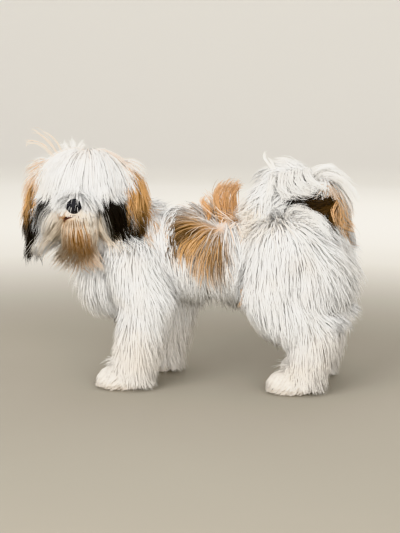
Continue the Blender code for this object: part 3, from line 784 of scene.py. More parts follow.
BODY_MARKS = (
    ("tan", (0.047, -0.001, 0.198), (0.020, 0.022, 0.016), 1.0, 0.9),
    ("tan", (0.018, 0.002, 0.196), (0.010, 0.016, 0.010), 1.0, 1.0),
    ("black", (0.028, -0.016, 0.192), (0.018, 0.010, 0.005), 0.6, 0.4),
    ("black", (0.024, -0.020, 0.185), (0.022, 0.009, 0.009), 0.2, 0.95),
    ("black", (0.002, -0.030, 0.177), (0.014, 0.010, 0.006), 0.8, 0.9),
    ("tan", (0.016, -0.034, 0.178), (0.028, 0.020, 0.015), 1.0, 1.0),
    ("tan", (0.030, -0.038, 0.166), (0.015, 0.022, 0.016), 1.0, 0.9),
    ("black", (0.038, -0.036, 0.168), (0.006, 0.020, 0.014), 0.3, 0.8),
    ("tan", (0.030, 0.036, 0.172), (0.024, 0.020, 0.020), 0.9, 0.9),
    ("black", (0.012, 0.038, 0.176), (0.012, 0.012, 0.010), 0.5, 0.6),
    ("black", (0.137, -0.012, 0.206), (0.009, 0.013, 0.015), 1.0, 0.95),
    ("tan", (0.147, -0.014, 0.208), (0.006, 0.012, 0.020), 1.0, 0.9),
    ("cream", (0.080, -0.030, 0.200), (0.034, 0.030, 0.020), 0.5, 0.45),
    ("tan", (0.062, -0.044, 0.108), (0.006, 0.012, 0.010), 0.8, 0.9),
    ("cream", (-0.036, 0.044, 0.070), (0.040, 0.024, 0.060), 0.4, 0.3),
    # Cream on the feet: their stain, made stronger as painted shade near the ground
    ("cream", (0.000, 0.000, 0.004), (0.300, 0.100, 0.016), 0.65, 0.50),
    # Cream on the lower legs: painted shade, slightly warm
    ("cream", (0.000, 0.000, 0.040), (0.300, 0.100, 0.050), 0.36, 0.28),
    ("black", (0.028, -0.034, 0.172), (0.028, 0.024, 0.018), 0.30, 0.12),
)
MARK_KINDS = ("tan", "black", "rust", "cream")
MARK_EDGE = 0.35
MARK_JITTER = 0.0016
MARK_WANDER = 0.0012
HEAD_REACH = 0.095
LOCK_VARIETY = 0.08
LOCK_MARKS = {
    "white": (0.0, 0.0, 0.0, 0.0),
    "fawn": (0.30, 0.0, 0.0, 0.6),
    "tan": (0.9, 0.0, 0.0, 0.0),
    "brown": (1.0, 0.94, 0.35, 0.0),
    "black": (1.0, 1.0, 0.0, 0.0),
}


def blotch(points, scale, seed):
    """A smooth wandering offset for each point, for the uneven edges of the markings."""
    rng = np.random.default_rng(seed)
    total = np.zeros_like(points)
    for level in range(1, 4):
        ways = rng.normal(0.0, 1.0, (3, 3)) * level / scale
        starts = rng.uniform(0.0, math.tau, 3)
        total += np.sin(points @ ways.T + starts) / level
    return total


def marks_at(points, at_tip):
    """The strength of each marking at some places, for the roots or for the tips of their hairs."""
    strength = np.zeros((len(points), 4))
    near_head = np.linalg.norm(in_head(points), axis=1) < HEAD_REACH
    for table, local in ((HEAD_MARKS, in_head(points)), (BODY_MARKS, in_body(points))):
        for kind, place, radii, root, tip in table:
            far = np.linalg.norm((local - np.array(place)) / np.array(radii), axis=1)
            here = (tip if at_tip else root) * (1 - rise(far, 1 - MARK_EDGE, 1 + MARK_EDGE))
            if table is HEAD_MARKS:
                here *= near_head
            column = MARK_KINDS.index(kind)
            strength[:, column] = np.maximum(strength[:, column], here)
    return strength


# The coat: how long, how deep and how fine it is

# length, depth, width, strands on a square centimetre, rings, wisp size, wisp pull, wave
COAT = {
    "head": (0.042, 0.0150, 0.00063, 50, 5, 0.0042, 0.42, 0.0006),
    "ear": (0.044, 0.0145, 0.00069, 57, 5, 0.0048, 0.42, 0.0008),
    "neck": (0.040, 0.0210, 0.00087, 34, 4, 0.0045, 0.34, 0.0014),
    "torso": (0.046, 0.0220, 0.00087, 29, 4, 0.0045, 0.34, 0.0016),
    "foreleg": (0.036, 0.0160, 0.00080, 37, 3, 0.0040, 0.30, 0.0009),
    "forepaw": (0.017, 0.0085, 0.00070, 52, 3, 0.0042, 0.55, 0.0006),
    "thigh": (0.044, 0.0240, 0.00087, 29, 4, 0.0045, 0.36, 0.0016),
    "hind_leg": (0.034, 0.0150, 0.00080, 37, 3, 0.0040, 0.30, 0.0009),
    "hind_paw": (0.017, 0.0085, 0.00070, 52, 3, 0.0042, 0.55, 0.0006),
    "tail": (0.050, 0.0260, 0.00082, 84, 6, 0.0065, 0.62, 0.0060),
}
LOWEST_HAIR = 0.0012
SOLE = 0.0002
BARE_SOLE = 0.0045
EYE_RIM = 0.0012
NOSE_BARE = (0.0085, 0.0094, 0.0086)
LIP_BARE = 0.0018
LIP_HAIR = 0.0035
CREST_HEIGHT = 0.038
CLEARANCE = 0.0010
ROOT_SINK = 0.0012
TUFT_PATCH = 0.003
SOFT_SHADE = {"coat": 0.65, "lock": 0.2}
LOCK_RINGS = 8
LOCK_SCATTER = 0.45
LOCK_CURL = 0.30
# How thick a strand is, and how wide a lock spreads, from 0 at the root to 1 at the tip
STRAND_PROFILE = ((0.0, 0.3, 0.7, 1.0), (0.7, 1.0, 0.85, 0.35))
LOCK_PROFILE = ((0.0, 0.4, 0.8, 1.0), (0.9, 0.9, 0.75, 0.8))
# Shortest and longest hair as shares of its length, and the lowest layer as a share of the depth
LENGTHS = (0.72, 1.12)
UNDERCOAT = 0.22
# How steeply hair leaves its root, how much it wanders, and how much of its way out of the body it loses
ROOT_LIFT = {"tail": 0.9}
PLAIN_LIFT = 0.40
SWAY = 0.10
CLING = 0.85
# From ring to ring a hair keeps part of its heading, turns to the lie of the coat and droops
KEPT_HEADING = 0.5
TURN = 0.6
DROOP = np.array((0.0, 0.0, -0.18))
FLUFF = {"neck": 0.12, "torso": 0.12, "thigh": 0.13, "foreleg": 0.12, "hind_leg": 0.12, "tail": 0.10}
LOCK_WIDTH = {"crown_tuft": 0.00045, "back_locks": 0.00062, "tail_locks": 0.00065}
IN_HALVES = ("head", "torso")
# Locks drawn over the photograph, by piece: marking, thickness, number of hairs and the places
# that they run through, each as its pixel across and down and its y
LOCKS = {
    "crown_tuft": (
        ("white", 0.0055, 34, ((69, 155, -0.036), (66, 147, -0.036), (62, 143, -0.036))),
        ("white", 0.0055, 40, ((74, 155, -0.035), (74, 146, -0.035), (71, 139, -0.035))),
        ("white", 0.005, 30, ((78, 155, -0.034), (80, 147, -0.034), (84, 142, -0.034))),
        ("fawn", 0.0045, 5, (
            (57, 153, -0.034), (51, 144, -0.034), (43, 136, -0.034), (35, 131, -0.034),
            (30, 133, -0.034),
        )),
        ("fawn", 0.0045, 5, (
            (52, 155, -0.034), (45, 147, -0.034), (35, 142, -0.034), (27, 142, -0.034),
            (23, 147, -0.034),
        )),
        ("fawn", 0.004, 4, ((61, 151, -0.034), (56, 141, -0.034), (48, 134, -0.034), (40, 133, -0.034))),
    ),
    "back_locks": (
        ("tan", 0.0075, 80, (
            (221, 214, -0.01), (218, 204, -0.013), (217, 195, -0.013), (221, 187, -0.011),
            (227, 182, -0.009),
        )),
        ("tan", 0.008, 90, (
            (228, 214, -0.008), (226, 203, -0.012), (226, 192, -0.012), (230, 184, -0.01),
            (236, 180, -0.007),
        )),
        ("tan", 0.008, 90, (
            (236, 214, -0.006), (234, 204, -0.01), (234, 194, -0.01), (237, 186, -0.007),
            (242, 183, -0.005),
        )),
        ("tan", 0.0055, 50, (
            (211, 214, -0.01), (206, 207, -0.013), (203, 201, -0.013), (206, 197, -0.011),
        )),
        ("tan", 0.004, 34, (
            (243, 282, -0.03), (243, 292, -0.04), (242, 301, -0.045), (239, 309, -0.046),
        )),
    ),
    "tail_locks": (
        ("white", 0.0022, 16, (
            (277, 176, -0.02), (270, 166, -0.022), (265, 159, -0.022), (265, 154, -0.022),
            (268, 152, -0.022),
        )),
        ("white", 0.002, 12, (
            (279, 174, -0.02), (274, 167, -0.021), (271, 161, -0.021), (269, 157, -0.021),
        )),
        # These black locks fill the dark opening under the plume: black hair of the tail's base, and painted
        # shade where the opening lies in shadow
        ("black", 0.006, 110, (
            (334, 199, -0.02), (328, 202, -0.03), (320, 204, -0.034), (311, 204, -0.034),
            (303, 202, -0.033),
        )),
        ("black", 0.0055, 80, (
            (335, 203, -0.018), (331, 207, -0.028), (323, 209, -0.033), (313, 209, -0.033),
        )),
        ("black", 0.004, 36, (
            (332, 202, -0.02), (331, 210, -0.028), (332, 218, -0.03), (335, 227, -0.028),
        )),
        ("tan", 0.005, 50, (
            (334, 201, -0.018), (334, 210, -0.026), (337, 219, -0.026), (341, 229, -0.024),
        )),
        ("white", 0.008, 60, (
            (293, 216, -0.028), (303, 213, -0.036), (315, 215, -0.039), (324, 221, -0.04),
            (331, 231, -0.038),
        )),
        ("white", 0.0085, 60, (
            (298, 221, -0.032), (309, 218, -0.04), (320, 223, -0.042), (327, 231, -0.042),
            (332, 241, -0.04),
        )),
        ("white", 0.007, 50, (
            (286, 212, -0.028), (294, 208, -0.037), (303, 209, -0.039), (312, 213, -0.039),
        )),
        ("white", 0.0075, 50, (
            (306, 226, -0.036), (317, 226, -0.042), (326, 234, -0.043), (332, 245, -0.041),
        )),
        ("white", 0.007, 60, (
            (293, 168, -0.028), (290, 177, -0.043), (291, 185, -0.047), (297, 191, -0.046),
            (307, 194, -0.043), (320, 192, -0.038),
        )),
        ("white", 0.007, 60, (
            (300, 168, -0.028), (298, 177, -0.043), (301, 184, -0.046), (309, 189, -0.044),
            (321, 190, -0.038),
        )),
        ("white", 0.0065, 60, (
            (308, 168, -0.026), (307, 175, -0.04), (311, 181, -0.042), (318, 186, -0.041),
            (328, 189, -0.036),
        )),
        ("white", 0.007, 60, (
            (284, 170, -0.028), (281, 181, -0.043), (282, 190, -0.046), (288, 196, -0.046),
            (299, 198, -0.044),
        )),
        ("white", 0.007, 60, (
            (276, 172, -0.026), (272, 183, -0.04), (270, 194, -0.044), (266, 203, -0.044),
            (259, 209, -0.042),
        )),
        ("white", 0.006, 60, (
            (318, 174, -0.012), (333, 176, -0.014), (346, 184, -0.014), (355, 195, -0.012),
            (359, 206, -0.01),
        )),
        ("white", 0.006, 44, (
            (314, 172, -0.006), (326, 169, -0.008), (337, 172, -0.008), (347, 180, -0.006),
            (356, 190, -0.004),
        )),
        ("white", 0.004, 22, (
            (311, 173, -0.012), (321, 168, -0.014), (330, 166, -0.014), (338, 167, -0.014),
        )),
        ("brown", 0.006, 34, (
            (336, 200, -0.02), (331, 205, -0.032), (326, 210, -0.038), (318, 212, -0.038),
            (309, 208, -0.036),
        )),
        ("brown", 0.005, 30, (
            (337, 203, -0.02), (333, 211, -0.032), (331, 219, -0.036), (334, 229, -0.034),
        )),
        ("tan", 0.0045, 16, (
            (337, 201, -0.022), (333, 208, -0.034), (333, 217, -0.038), (337, 228, -0.034),
        )),
    ),
}
CREST = (((0.048, -0.002, 0.196), 0.024), ((0.016, 0.000, 0.196), 0.010))
FAN = ((0.038, -0.026, 0.192), 0.060)
EAR_FAN = 0.030
FRINGE_END = -0.017
FRINGE_ROUND = 0.052


def kind_of(region):
    for label in SIDES:
        region = region.removesuffix("_" + label)
    return region


def head_lie(points):
    """From the crown down all round, and on the muzzle out from the nose and down."""
    local = in_head(points)
    forward, side, up = local.T
    falls = np.stack([forward + 0.006, side, np.zeros_like(up)], axis=1)
    falls = unit(falls) * (0.35 + rise(up, 0.0, 0.03)[:, None])
    falls[:, 2] -= 0.9
    spread, drop = np.clip(side / 0.018, -1.1, 0.8), -0.9 - rise(-up, 0.01, 0.03)
    whiskers = np.stack([np.full_like(side, 0.25), spread, drop], axis=1)
    cheek = rise(forward, 0.010, 0.030) * rise(-up, 0.002, 0.014)
    falls[:, 1] += 0.45 * cheek * np.clip(side / 0.02, -1.0, 1.9)
    face = rise(forward, 0.028, 0.042) * rise(-up, 0.000, 0.010)
    mixed = unit(falls) * (1 - face[:, None]) + unit(whiskers) * face[:, None]
    return mixed @ HEAD_NP.T


def tail_lie(points):
    """Along the tail towards its tip and away from it, and down behind the root as a curtain."""
    starts = np.array([a + SHIFT for a, _ in TAIL_ARCH[:-1]])
    ends = np.array([b + SHIFT for b, _ in TAIL_ARCH[1:]])
    middles = (starts + ends) / 2
    nearest = np.argmin(np.linalg.norm(points[:, None] - middles[None], axis=2), axis=1)
    away = unit(points - middles[nearest])
    droop = np.array((0.30, 0.30, 0.20, 0.35, 0.60))[nearest][:, None]
    way = unit((ends - starts)[nearest]) * 0.70 + away * 0.35 + droop * np.array((0.0, 0.0, -1.0))
    body = in_body(points)
    behind = rise(body[:, 0], 0.136, 0.148)[:, None]
    curtain = away * 0.45 + np.array((0.50, 0.0, -0.70))
    return way * (1 - behind) + curtain * behind


def back_lie(points, normals):
    """Down both sides from a parting on the spine, with the crest and the fan of the patch."""
    body = in_body(points)
    side = np.clip(body[:, 1] / 0.02, -1.0, 1.0)
    behind = rise(normals[:, 0], 0.2, 0.8)
    top = rise(normals[:, 2], 0.3, 0.9)
    way = np.stack([0.25 + 0.5 * behind, side * (0.15 + 0.9 * top), -np.ones(len(points))], axis=1)
    from_fan = body - np.array(FAN[0])
    reach = np.linalg.norm(from_fan, axis=1)
    share = rise(FAN[1] - reach, 0.0, 0.02) * rise(-from_fan[:, 0] + 0.008, 0.0, 0.01)
    share *= body[:, 1] < 0.01
    way = way * (1 - share[:, None]) + unit(from_fan) * 1.3 * share[:, None]
    share = crest_share(points)
    crest = np.array((-0.40, -0.05, 1.0))
    return way * (1 - share[:, None]) + crest * 1.2 * share[:, None]


def crest_share(points):
    """1 on the ruffled tufts of the spine and 0 elsewhere."""
    body = in_body(points)
    shares = [
        rise(size - np.linalg.norm(body - np.array(place), axis=1), 0.0, 0.006)
        for place, size in CREST
    ]
    return np.max(shares, axis=0) * rise(body[:, 2], 0.178, 0.188)


def lie(kind, points, normals):
    """The way the coat falls at each point, before it is laid along the surface."""
    ones = np.ones(len(points))
    if kind == "head":
        return head_lie(points)
    if kind == "tail":
        return tail_lie(points)
    if kind == "torso":
        return back_lie(points, normals)
    if kind == "ear":
        forward, out, _ = in_head(points).T
        fan = np.stack([(forward - EAR_ROOT[0]) / EAR_FAN, np.sign(out) * 0.42, -ones], axis=1)
        return fan @ HEAD_NP.T
    if kind in ("forepaw", "hind_paw"):
        ankle = rise(points[:, 2], 0.015, 0.025)
        return np.stack([0.65 * ankle - 0.8, 0.5 * normals[:, 1], -0.45 - 0.4 * ankle], axis=1)
    behind = rise(normals[:, 0], 0.2, 0.8)
    if kind in ("foreleg", "hind_leg"):
        return np.stack([0.12 + 0.35 * behind, 0.15 * normals[:, 1], -ones], axis=1)
    side = np.clip(in_body(points)[:, 1] / 0.02, -1.0, 1.0)
    if kind == "neck":
        top = rise(normals[:, 2], 0.2, 0.8)
        return np.stack([0.35 + 0.6 * top, 0.5 * side, -1.0 + 0.6 * top], axis=1)
    return np.stack([0.18 + 0.45 * behind, 0.2 * side, -ones], axis=1)


def face_coat(points, length, height):
    """The coat of the head: short on the bridge of the nose and the lip, long in beard and fringe."""
    forward, side, up = in_head(points).T
    bridge = rise(forward, 0.036, 0.046) * rise(up, -0.030, -0.016) * (1 - rise(up, 0.004, 0.012))
    length = length * (1 - 0.74 * bridge)
    height = height * (1 - 0.72 * bridge)
    beard = rise(-up, 0.024, 0.034) * rise(forward, 0.0, 0.02)
    length = length * (1 + 0.20 * beard)
    # The fringe falls from wherever it grows to one height, in uneven points and longest in the middle
    angle = np.arcsin(np.clip(up / FRINGE_ROUND, -0.98, 0.98)) - math.asin(FRINGE_END / FRINGE_ROUND)
    falls = np.clip(angle * FRINGE_ROUND, 0.014, 0.066)
    falls = falls * (1 + 0.10 * np.sin(side * 700.0) * np.sin(side * 260.0 + 1.0))
    falls = falls + 0.016 * (1 - rise(np.abs(side), 0.006, 0.022))
    front = rise(forward, -0.022, -0.006) * rise(up, -0.008, -0.002)
    length = length * (1 - front) + falls * front
    above = up - mouth_height(side / MOUTH_HALF)
    lip = rise(forward, 0.030, 0.044) * rise(above, -0.001, 0.001) * (1 - rise(above, 0.005, 0.009))
    lip = lip * (1 - rise(side, 0.001, 0.006)) * rise(side, -0.030, -0.022)
    length = length * (1 - lip) + LIP_HAIR * lip
    height = height * (1 - 0.7 * lip)
    return length, height * (1 + 0.25 * rise(-up, 0.0, 0.02) * (1 - bridge))


def coat_at(kind, points, normals):
    """The length of the hair and how far its tips stand off the flesh."""
    length = np.full(len(points), COAT[kind][0])
    height = np.full(len(points), COAT[kind][1])
    if kind == "head":
        length, height = face_coat(points, length, height)
    if kind == "torso":
        # Fuller on the chest, shorter below, flatter on the back, and tall on its crest
        height *= 1 + 0.35 * rise(-normals[:, 0], 0.3, 0.9)
        length *= 1 - 0.22 * rise(-normals[:, 2], 0.1, 0.6)
        height *= 1 - 0.25 * rise(normals[:, 2], 0.4, 0.9)
        crest = crest_share(points)
        height = height * (1 - crest) + CREST_HEIGHT * crest
    if kind == "thigh":
        height *= 1 + 0.45 * rise(normals[:, 0], 0.2, 0.9) - 0.3 * rise(-normals[:, 0], 0.2, 0.9)
    if kind in ("foreleg", "hind_leg"):
        height *= 1 + 0.35 * rise(normals[:, 0], 0.2, 0.9)
    if kind == "tail":
        height *= 1 + 0.45 * rise(normals[:, 0], 0.0, 0.7) * rise(in_body(points)[:, 0], 0.120, 0.135)
    if kind in ("foreleg", "hind_leg", "forepaw", "hind_paw"):
        # No hair reaches far past the floor
        length = np.minimum(length, 0.004 + 0.75 * points[:, 2])
    if kind in ("forepaw", "hind_paw"):
        height *= 1 - 0.6 * rise(points[:, 2], 0.014, 0.024)
    return length, height


def on_bare_skin(kind, points):
    """The eyes, the nose, the lips, the insides of the ears and the soles carry no hair."""
    bare = points[:, 2] < BARE_SOLE
    local = in_head(points)
    if kind == "ear":
        return bare | (np.abs(local[:, 1]) < EAR_ROOT[1] + 0.002)
    if kind != "head":
        return bare
    bare |= np.linalg.norm((local - np.array(NOSE_PLACE)) / NOSE_BARE, axis=1) < 1.0
    for centre in eye_centres():
        bare |= np.linalg.norm(points - centre, axis=1) < EYE_RADIUS + EYE_RIM
    forward, side, up = local.T
    wide = np.where(side < -0.0005, LIP_BARE, 0.0)
    return bare | ((forward > 0.032) & (np.abs(up - mouth_height(side / MOUTH_HALF)) < wide))


class Skin:
    """The skin's triangles, on which the hairs have their roots."""

    def __init__(self, piece):
        data = piece.data
        data.calc_loop_triangles()
        triangles = data.loop_triangles
        places = read_array(data.vertices, "co", 3)
        chart = read_array(data.uv_layers["OFBake"].data, "uv", 2)
        self.corners = places[read_array(triangles, "vertices", 3, np.int32)]
        self.chart = chart[read_array(triangles, "loops", 3, np.int32)]
        first, second, third = (self.corners[:, k] for k in range(3))
        self.areas = np.linalg.norm(np.cross(second - first, third - first), axis=1) / 2
        regions = read_array(data.attributes["region"].data, "value", 1, np.int32)
        self.regions = regions[read_array(triangles, "polygon_index", 1, np.int32)]

    def roots(self, region, density, rng):
        """Places spread over a region, with their places on the skin's unwrap."""
        own = np.nonzero(self.regions == REGIONS.index(region))[0]
        areas = self.areas[own]
        count = int(areas.sum() * 10000 * density)
        chosen = own[rng.choice(len(own), size=count, p=areas / areas.sum())]
        a, b = rng.random((2, count, 1))
        fold = a + b > 1
        a, b = np.where(fold, 1 - a, a), np.where(fold, 1 - b, b)

        def blend(values):
            first, second, third = (values[chosen, k] for k in range(3))
            return first + a * (second - first) + b * (third - first)

        return blend(self.corners), blend(self.chart)


def comb(points, kind, rng):
    """Where each hair runs: out of its root, along the lie of the coat and down, clear of the body."""
    count = len(points)
    rings = COAT[kind][4]
    _, normals = flesh_slope(points)
    length, height = coat_at(kind, points, normals)
    length = length * rng.uniform(*LENGTHS, count)
    layer = UNDERCOAT + (1 - UNDERCOAT) * rng.random(count) ** 0.75
    step = (length / rings)[:, None]
    lift = ROOT_LIFT.get(kind, PLAIN_LIFT)
    sway = blotch(points, 0.022, SEED) * SWAY + rng.normal(0.0, FLUFF.get(kind, 0.05), (count, 3))
    path = [points - normals * ROOT_SINK]
    outs = [normals]
    here, heading, out = points, None, normals
    for number in range(1, rings + 1):
        falls = unit(lie(kind, here, out) + sway)
        falls = unit(falls - CLING * np.sum(falls * out, axis=1, keepdims=True) * out)
        if heading is None:
            heading = unit(falls + lift * out)
        else:
            heading = unit(heading * KEPT_HEADING + falls * TURN + DROOP)
        there = here + heading * step
        wanted = height * layer * (number / rings) ** 0.75
        near, slope = flesh_slope(there)
        off = wanted - near
        # Hair that stands too far off is drawn back in, but not where it hangs free
        hangs = rise(-out[:, 2], -0.2, 0.5)
        pull = 0.1 if kind == "tail" else 0.55 * (1 - hangs)
        there = there + slope * np.where(off > 0, off, off * pull)[:, None]
        there[:, 2] = np.maximum(there[:, 2], LOWEST_HAIR * 1.6)
        heading = unit(there - here)
        path.append(there)
        outs.append(slope)
        here, out = there, slope
    return np.stack(path, axis=1), np.stack(outs, axis=1)


def gather(paths, spacing, pull, rng):
    """Draws the hairs of each wisp together towards their tips. It returns them and each one's wisp."""
    roots = paths[:, 0]
    count = len(roots)
    leaders = rng.permutation(count)
    kept = []
    cells = set()
    for index in leaders:
        cell = tuple(np.floor(roots[index] / spacing).astype(int))
        if cell not in cells:
            cells.add(cell)
            kept.append(index)
    tree = tree_of(roots[kept])
    wisp = np.array([tree.find(root)[1] for root in roots])
    lead = paths[np.array(kept)[wisp]]
    share = np.linspace(0.0, 1.0, paths.shape[1]) ** 1.3
    amount = pull * rng.uniform(0.6, 1.25, count)
    amount = np.clip(amount[:, None] * share[None], 0.0, 0.96)[:, :, None]
    return paths * (1 - amount) + lead * amount, wisp


def wave(paths, normals, wisp, size, rng):
    """Bends the hairs of each wisp from side to side in step."""
    heading = unit(paths[:, -1] - paths[:, 0])
    across = unit(np.cross(heading, normals))
    lift = np.cross(across, heading)
    share = np.linspace(0.0, 1.0, paths.shape[1])[None]
    turns = rng.uniform(0.55, 1.05, wisp.max() + 1)[wisp][:, None]
    phase = rng.uniform(0.0, math.tau, wisp.max() + 1)[wisp][:, None]
    phase = phase + rng.normal(0.0, 0.25, (len(paths), 1))
    swing = size * share * np.sin(math.tau * turns * share + phase)
    bob = size * 0.5 * share * np.cos(math.tau * turns * share + phase)
    return paths + across[:, None] * swing[:, :, None] + lift[:, None] * bob[:, :, None]


def lift_clear(paths):
    """Moves any point that came inside the flesh back out of it, and keeps all above the floor."""
    for k in range(1, paths.shape[1]):
        near, slope = flesh_slope(paths[:, k])
        short = np.maximum(CLEARANCE - near, 0.0)
        paths[:, k] += slope * short[:, None]
    paths[:, 1:, 2] = np.maximum(paths[:, 1:, 2], LOWEST_HAIR)
    return paths


def strand_shape(paths, outs, widths, soft):
    """The points of closed tapered strands along their paths, and the way each point is shaded."""
    count, rings = len(paths), paths.shape[1] - 1
    size = np.interp(np.linspace(0.0, 1.0, rings + 1)[:-1], *STRAND_PROFILE)
    across = np.cross(paths[:, 2] - paths[:, 0], outs[:, 0])
    places = np.empty((count, rings * 3 + 1, 3))
    shading = np.empty((count, rings * 3 + 1, 3))
    for i in range(rings):
        heading = unit(paths[:, i + 1] - paths[:, max(i - 1, 0)])
        across = unit(across - np.sum(across * heading, axis=1, keepdims=True) * heading)
        ridge = np.cross(across, heading)
        edge = across * (widths * size[i] / 2)[:, None]
        tall = ridge * (widths * size[i] * 0.5)[:, None]
        places[:, i * 3] = paths[:, i] - edge - tall * 0.3
        places[:, i * 3 + 1] = paths[:, i] + edge - tall * 0.3
        places[:, i * 3 + 2] = paths[:, i] + tall * 0.7
        for k, own in enumerate((-0.9 * across - 0.4 * ridge, 0.9 * across - 0.4 * ridge, ridge)):
            shading[:, i * 3 + k] = unit(own * (1 - soft) + outs[:, i] * soft)
    places[:, -1] = paths[:, -1]
    shading[:, -1] = unit(ridge * (1 - soft) + outs[:, -1] * soft)
    places[:, :, 2] = np.maximum(places[:, :, 2], LOWEST_HAIR * 0.5)
    return places, shading


def strand_faces(rings):
    """The triangles of one strand: its root, its sides and its tip."""
    sides = ((0, 1), (1, 2), (2, 0))
    faces = [(0, 1, 2)]
    for low in range(0, rings * 3 - 3, 3):
        high = low + 3
        for a, b in sides:
            faces += [(low + b, low + a, high + a), (low + b, high + a, high + b)]
    last, tip = rings * 3 - 3, rings * 3
    return faces + [(last + b, last + a, tip) for a, b in sides]


def triangle_mesh(name, places, faces):
    """A mesh of triangles, from its places and the numbers of its corners one after another."""
    data = bpy.data.meshes.new(name)
    data.vertices.add(len(places))
    data.vertices.foreach_set("co", places.reshape(-1))
    data.loops.add(len(faces))
    data.loops.foreach_set("vertex_index", faces)
    data.polygons.add(len(faces) // 3)
    data.polygons.foreach_set("loop_start", np.arange(0, len(faces), 3))
    data.update(calc_edges=True)
    return data


def strand_mesh(name, paths, outs, widths, chart, roots, wisp, rng, mark=None):
    """Every hair as a closed tapered strand, in one mesh with its markings and its bake map."""
    count, rings = len(paths), paths.shape[1] - 1
    per = rings * 3 + 1
    places, shading = strand_shape(paths, outs, widths, SOFT_SHADE["lock" if mark else "coat"])
    faces = (np.array(strand_faces(rings))[None] + (np.arange(count) * per)[:, None, None]).reshape(-1)
    data = triangle_mesh(name, places.reshape(-1, 3), faces)
    along = np.append(np.repeat(np.arange(rings), 3) / rings, 1.0)
    jitter = roots + rng.normal(0.0, MARK_JITTER, roots.shape)
    jitter = jitter + blotch(roots, 0.006, SEED + 1) * MARK_WANDER
    first, final = marks_at(jitter, False), marks_at(jitter, True)
    marks = first[:, None] * (1 - along)[None, :, None] + final[:, None] * along[None, :, None]
    if mark:
        marks[:] = LOCK_MARKS[mark]
        marks[:, :, 1] *= 1 - LOCK_VARIETY * rng.random((count, 1))
    paint(data, "marks", marks)
    wisps = rng.random(wisp.max() + 1)[wisp] if count else wisp
    strand = np.empty((count, per, 4))
    strand[:, :, 0] = along
    strand[:, :, 1] = rng.random(count)[:, None]
    strand[:, :, 2] = wisps[:, None]
    strand[:, :, 3] = 1.0
    paint(data, "strand", strand)
    offset = np.empty((per, 2))
    offset[:, 0] = np.append(np.tile((-0.5, 0.5, 0.0), rings), 0.0)
    offset[:, 1] = along - 0.5
    chart = chart[:, None] + offset[None] * TUFT_PATCH
    layer = data.uv_layers.new(name="OFBake")
    layer.data.foreach_set("uv", chart.reshape(-1, 2)[faces].reshape(-1))
    data.polygons.foreach_set("use_smooth", np.ones(len(faces) // 3, bool))
    data.normals_split_custom_set_from_vertices(shading.reshape(-1, 3))
    made = bpy.data.objects.new(name, data)
    bpy.context.scene.collection.objects.link(made)
    return made


def grow_coat(name, region):
    """Grows one region's coat on the skin. A large one is made as a left and a right piece."""
    sizes = bpy.context.scene.dog_sizes
    kind = kind_of(region)
    _, _, width, density, _, spacing, pull, size = COAT[kind]
    rng = np.random.default_rng(SEED + REGIONS.index(region))
    skin = Skin(bpy.data.objects["skin"])
    points, chart = skin.roots(region, density * sizes.fullness, rng)
    keep = ~on_bare_skin(kind, points)
    points, chart = points[keep], chart[keep]
    paths, outs = comb(points, kind, rng)
    paths, wisp = gather(paths, spacing, pull, rng)
    paths = lift_clear(wave(paths, outs[:, 0], wisp, size, rng))
    widths = width * rng.uniform(0.75, 1.25, len(points)) * sizes.hair
    halves = {"": np.ones(len(points), bool)}
    if kind in IN_HALVES:
        across = -in_head(points)[:, 1] if kind == "head" else in_body(points)[:, 1]
        halves = {"_left": across < 0, "_right": across >= 0}
    for label, own in halves.items():
        each = (values[own] for values in (paths, outs, widths, chart, points, wisp))
        made = strand_mesh(name + label, *each, rng)
        finish_piece(made, coat_material())


def lock_paths(spread, count, places, rng):
    """The hairs of one lock along its places, as paths with the way out of the flesh at each ring."""
    spine = np.array([seen_at(*place) for place in places]) + np.array(SHIFT)
    spine = np.concatenate([2 * spine[:1] - spine[1:2], spine, 2 * spine[-1:] - spine[-2:-1]])
    reach = rng.uniform(0.72, 1.0, count)[:, None] * np.linspace(0.0, 1.0, LOCK_RINGS + 1)[None]
    spot = reach * (len(places) - 1)
    index = np.minimum(spot.astype(int), len(places) - 2)
    t = (spot - index)[:, :, None]
    a, b, c, d = (spine[index + k] for k in range(4))
    paths = b + 0.5 * t * (c - a + t * (2 * a - 5 * b + 4 * c - d + t * (3 * (b - c) + d - a)))
    share = np.linspace(0.0, 1.0, LOCK_RINGS + 1)
    profile = np.interp(share, *LOCK_PROFILE)
    share = share[None, :, None]
    offset = rng.normal(0.0, spread * LOCK_SCATTER, (2, count, 1, 3))
    paths = paths + (offset[0] * (1 - share) + offset[1] * share) * profile[None, :, None]
    turns = math.tau * (reach * rng.uniform(0.8, 1.4, (count, 1)) + rng.random((count, 1)))
    paths[:, :, 0] += np.sin(turns) * reach * spread * LOCK_CURL
    paths[:, :, 2] += np.cos(turns) * reach * spread * LOCK_CURL
    near, normals = flesh_slope(paths[:, 0])
    paths[:, 0] -= normals * (near + ROOT_SINK)[:, None]
    outs = [normals] + [flesh_slope(paths[:, k])[1] for k in range(1, LOCK_RINGS + 1)]
    return paths, np.stack(outs, axis=1)


# Operators, one for each piece or group of like pieces

